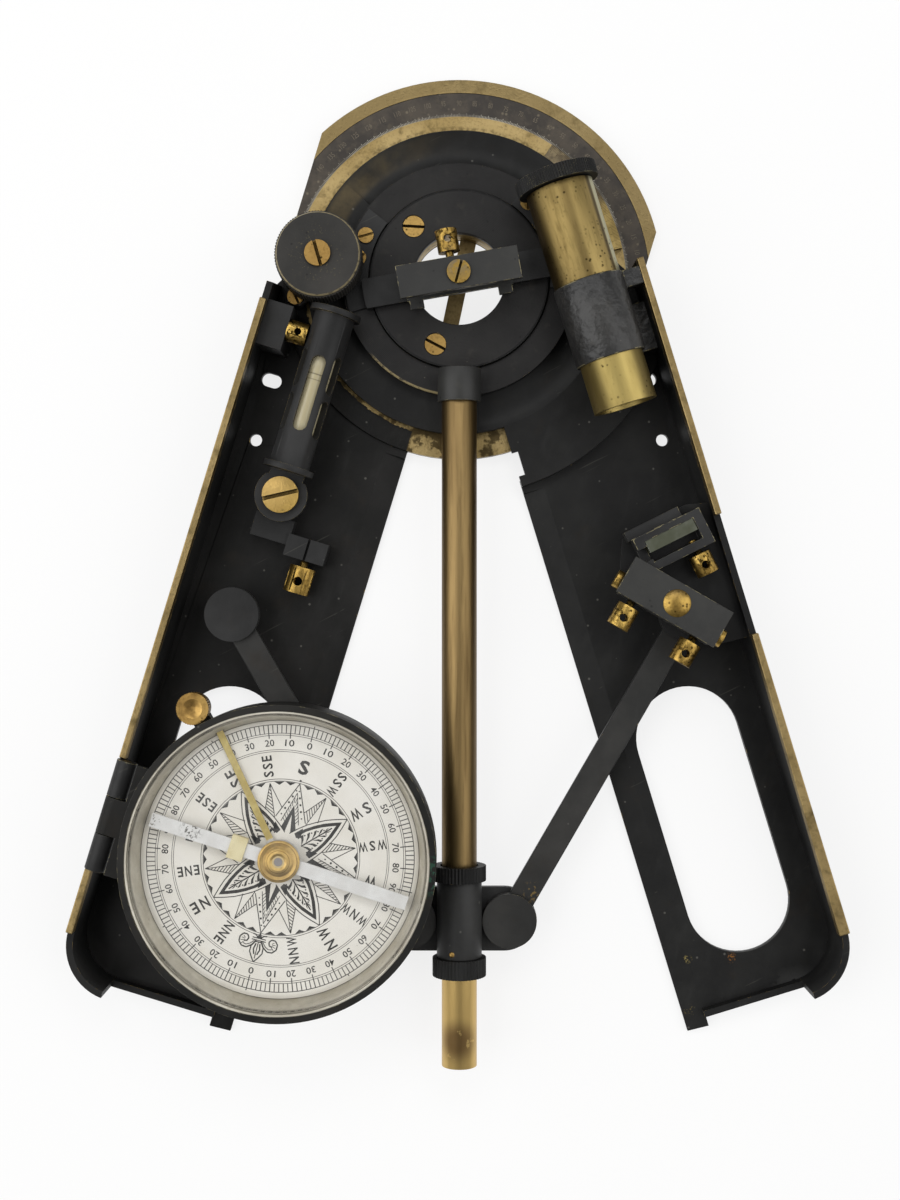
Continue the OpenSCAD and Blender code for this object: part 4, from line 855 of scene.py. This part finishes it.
# Star: eight short hatched rays, then four double-lined cardinal rays with four leaf rays between them.
# Outlines are given for one side, as radius and bearing from the ray.
LEAF_EDGE = ((18.1, 0), (16.0, 4.3), (14.0, 9.2), (12.0, 14.3), (10.0, 21), (8.0, 29), (6.2, 40))
BAND_OUTER = ((16.7, 0), (14.9, 3.6), (13.0, 8.2), (11.0, 13.4), (9.0, 19.5), (7.0, 27))
BAND_INNER = ((15.1, 0), (13.9, 2.3), (12.3, 6.0), (10.5, 10.4), (8.7, 15.5), (7.0, 20))
LEAVES = ((13.2, 1.9, 1.3), (11.9, 4.4, 1.7), (10.5, 7.4, 2.0), (8.9, 11.0, 2.1), (7.4, 15.5, 1.7))


def short_ray(b):
    """A ray's outline and midrib, hatched on one side."""
    tip, heel = rose(17.7, b), rose(9.8, b)
    foot_low, foot_high = rose(12.0, b - 9.5), rose(12.0, b + 9.5)
    faces = line([foot_low, tip, foot_high], 0.19) + line([tip, heel], 0.17)
    for k in range(1, 9):
        share = k / 9
        a = [tip[i] + (foot_low[i] - tip[i]) * share for i in (0, 1)]
        c = [tip[i] + (heel[i] - tip[i]) * share for i in (0, 1)]
        faces += line([a, c], 0.19)
    return faces


def cardinal_ray(b):
    """A double outline with dots along it, a solid heart and hatching at its sides."""
    faces = line([rose(10.0, b - 21), rose(18.0, b), rose(10.0, b + 21)], 0.22)
    faces += line([rose(8.8, b - 14), rose(15.8, b), rose(8.8, b + 14)], 0.17)
    for side in (-1, 1):
        for k in range(5):
            share = 0.08 + 0.19 * k
            out, across = 16.9 - 8.0 * share, side * (0.12 + 2.75 * share)
            turn = b + math.degrees(math.atan2(across, out))
            faces += disc(math.hypot(out, across), turn, 0.2 + 0.08 * (k in (1, 2, 3)))
        faces.append([rose(12.9, b), rose(10.6, b), rose(6.4, b + side * 6), rose(7.4, b + side * 14)])
        for k in range(1, 8):
            share = k / 8
            faces += line([rose(15.4 - 6.4 * share, b + side * 13.5 * share ** 1.25),
                           rose(14.2 - 6.4 * share, b + side * 9.0 * share ** 1.25)], 0.16)
    return faces


def leaf_ray(b):
    """An outline, a solid band inside it, leaves and dots on both sides of a midrib, and a small
    diamond beside each foot."""
    faces = []
    for side in (-1, 1):
        edge_line, band_out, band_in = ([rose(r, b + side * t) for r, t in outline]
                                        for outline in (LEAF_EDGE, BAND_OUTER, BAND_INNER))
        faces += line(edge_line, 0.22)
        faces += [[band_out[i], band_out[i + 1], band_in[i + 1], band_in[i]] for i in range(5)]
        for r, t, size in LEAVES:
            faces.append([rose(r - size, b + side * 0.4), rose(r - 0.5, b + side * t * 0.5),
                          rose(r + 0.35, b + side * t), rose(r - 0.4, b + side * t * 1.1),
                          rose(r - 0.8, b + side * t * 0.75)])
            faces += disc(r - 1.1, b + side * t * 1.15, 0.2)
    faces += line([rose(5.6, b), rose(14.0, b)], 0.3)
    for side in (-1, 1):
        c = b + side * 22.5
        faces.append([rose(8.8, c), rose(6.7, c - 8), rose(6.0, c), rose(6.7, c + 8)])
    return faces


rays = []
for number in range(8):
    rays += short_ray(22.5 + 45 * number)
for number in range(4):
    rays += cardinal_ray(90 * number) + leaf_ray(45 + 90 * number)
for number in range(16):                             # small points that hang from the star's circle
    for share in (7.0, 15.5):
        b = 22.5 * number + share
        rays.append([rose(18.02, b - 3.9), rose(18.02, b + 3.9), rose(17.55, b + 1.8), rose(17.2, b),
                     rose(17.6, b - 1.8)])
for b in range(0, 360, 45):
    rays += line([rose(31.4, b), rose(31.85, b)], 0.22)
rays += disc(18.7, 180, 0.28)
flat_piece("dial_star", rays, DIAL_TOP, ink, "compass")

# North is a plain lily: a leaf, two curled petals and a band
LILY_LEAF = ((0, 25.0), (0.8, 23.9), (1.5, 22.7), (1.45, 21.4), (0.7, 20.2), (-0.7, 20.2),
             (-1.45, 21.4), (-1.5, 22.7), (-0.8, 23.9), (0, 25.0))
LILY_CURL = ((0.6, 19.9), (1.4, 21.2), (2.5, 22.0), (3.7, 21.9), (4.5, 21.0), (4.5, 19.8), (3.8, 19.0),
             (2.9, 19.0), (2.4, 19.7), (2.7, 20.5), (3.4, 20.6))


def lily(t, r):
    """A point t millimetres across and r out along the dial's north."""
    out_x, out_y = spoke(1, DIAL_N)
    return PRINT_MM[0] + out_x * r - out_y * t, PRINT_MM[1] + out_y * r + out_x * t


def lily_line(points, width, side=1):
    """A line of the lily, or its mirror image."""
    return line([lily(side * t, r) for t, r in points], width)


fleur = lily_line(LILY_LEAF, 0.28)
for side in (-1, 1):
    fleur += lily_line(LILY_CURL, 0.32, side)
    fleur += lily_line(((1.0, 20.0), (1.8, 20.9), (2.7, 21.4), (3.5, 21.2)), 0.2, side)
    for t, r in ((3.9, 21.4), (4.2, 20.7), (4.1, 20.0), (3.7, 19.5)):
        fleur += lily_line(((t, r), (3.0 + 0.25 * (t - 3), 20.2 + 0.4 * (r - 20.2))), 0.16, side)
    fleur += lily_line(((0.3, 19.2), (1.0, 18.6), (1.7, 18.5)), 0.28, side)
    fleur += lily_line(((0.45, 20.6), (0.75, 22.0), (0.35, 23.2)), 0.34, side)
fleur += lily_line(((0, 20.3), (0, 24.2)), 0.22)
fleur += lily_line(((-1.7, 19.85), (1.7, 19.85)), 0.24) + lily_line(((-1.6, 19.35), (1.6, 19.35)), 0.24)
fleur.append([lily(-0.7, 19.3), lily(0.7, 19.3), lily(0, 17.9)])
flat_piece("dial_north", fleur, DIAL_TOP, ink, "compass")

FIGURES_AT = 44.9
scale_marks = []
for degree in range(5, 141, 5):
    scale_marks += set_down(glyphs(str(degree)), 1.6 if degree > 99 else 1.1, 1.3,
                            spoke(FIGURES_AT, degree), degree - 90)
flat_piece("limb_numerals", scale_marks, LIMB_SCALE_TOP, ink_faint, "left_leg")

# A small brass pin in the slider's sleeve, near its lower end and a little under the upper nut's top
PIN_RADIUS, PIN_SINK = 0.75, 1.45
bm = bmesh.new()
bmesh.ops.create_uvsphere(bm, u_segments=14, v_segments=7, radius=PIN_RADIUS * MM)
bmesh.ops.scale(bm, verts=bm.verts, vec=(1, 1, 0.5))
pin_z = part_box("upper_nut")[1].z - PIN_SINK * MM
bmesh.ops.translate(bm, verts=bm.verts, vec=(-1.75 * MM, -163.4 * MM, pin_z))
pin = new_piece("slider_pin", bm, screw_brass)
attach(pin, "slider")

# Studio: a pale floor, a plain surround, two wide soft boxes at the sides and one beyond the head


def studio_floor():
    """White table. Camera, metal and glass see it nearly plain white, with the part's soft shadow."""
    material, tree, shader, _ = finish_start("white table", 0.8)
    wire(tree, shader, {"Base Color": hex_to_linear("#f6f6f5")})
    glow = add(tree, "ShaderNodeEmission", {"Color": WHITE, "Strength": 1.0})
    path = add(tree, "ShaderNodeLightPath").outputs
    seen = joined(tree, path["Is Camera Ray"], path["Is Glossy Ray"], path["Is Transmission Ray"])
    both = add(tree, "ShaderNodeMixShader", {0: times(tree, seen, 0.8), 1: shader.outputs[0],
                                             2: glow.outputs[0]})
    wire(tree, tree.nodes["Material Output"], {"Surface": both.outputs[0]})
    return material


def soft_box(name, place, size_x, size_y, watts):
    """A soft box that faces the middle of the part."""
    lamp = bpy.data.lights.new(name, "AREA")
    lamp.shape = "RECTANGLE"
    lamp.size = size_x
    lamp.size_y = size_y
    lamp.energy = watts
    box = bpy.data.objects.new(name, lamp)
    box.location = place
    box.rotation_euler = (Vector(MIDDLE) - Vector(place)).to_track_quat("-Z", "Y").to_euler()
    bpy.context.scene.collection.objects.link(box)


WHITE = (1, 1, 1, 1)
MIDDLE = (0, -0.08, 0)
FLOOR_REACH, FLOOR_DROP = 1.5, 0.0004
SURROUND = 0.2                                       # how strongly the white surround lights the part
CAMERA_MM = (-2.25, -78.5, 400)                      # straight above, as the photograph's was

bm = bmesh.new()
bmesh.ops.create_grid(bm, x_segments=1, y_segments=1, size=FLOOR_REACH)
bmesh.ops.translate(bm, verts=bm.verts, vec=(MIDDLE[0], MIDDLE[1], -FLOOR_DROP))
floor = new_piece("floor", bm, studio_floor())

world = bpy.data.worlds.new("surround")
bpy.context.scene.world = world
world.use_nodes = True
sky = world.node_tree
ground = sky.nodes["Background"]
wire(sky, ground, {"Color": WHITE, "Strength": SURROUND})
clear = add(sky, "ShaderNodeBackground", {"Color": WHITE, "Strength": 1.0})
sky_path = add(sky, "ShaderNodeLightPath")
sky_mix = add(sky, "ShaderNodeMixShader", {0: sky_path.outputs["Is Camera Ray"], 1: ground.outputs[0],
                                           2: clear.outputs[0]})
wire(sky, sky.nodes["World Output"], {"Surface": sky_mix.outputs[0]})

soft_box("left box", (-0.75, -0.08, 0.75), 1.0, 1.1, 8.0)
soft_box("right box", (0.75, -0.08, 0.75), 1.0, 1.1, 5.6)
soft_box("head box", (0.0, 0.6, 0.9), 0.9, 0.4, 3.2)

camera = bpy.data.objects.new("camera", bpy.data.cameras.new("camera"))
bpy.context.scene.collection.objects.link(camera)
camera.location = [value * MM for value in CAMERA_MM]
camera.data.sensor_width = 36
camera.data.lens = 48
camera.data.clip_start = 0.01
bpy.context.scene.camera = camera

bpy.context.scene.view_settings.view_transform = "Standard"
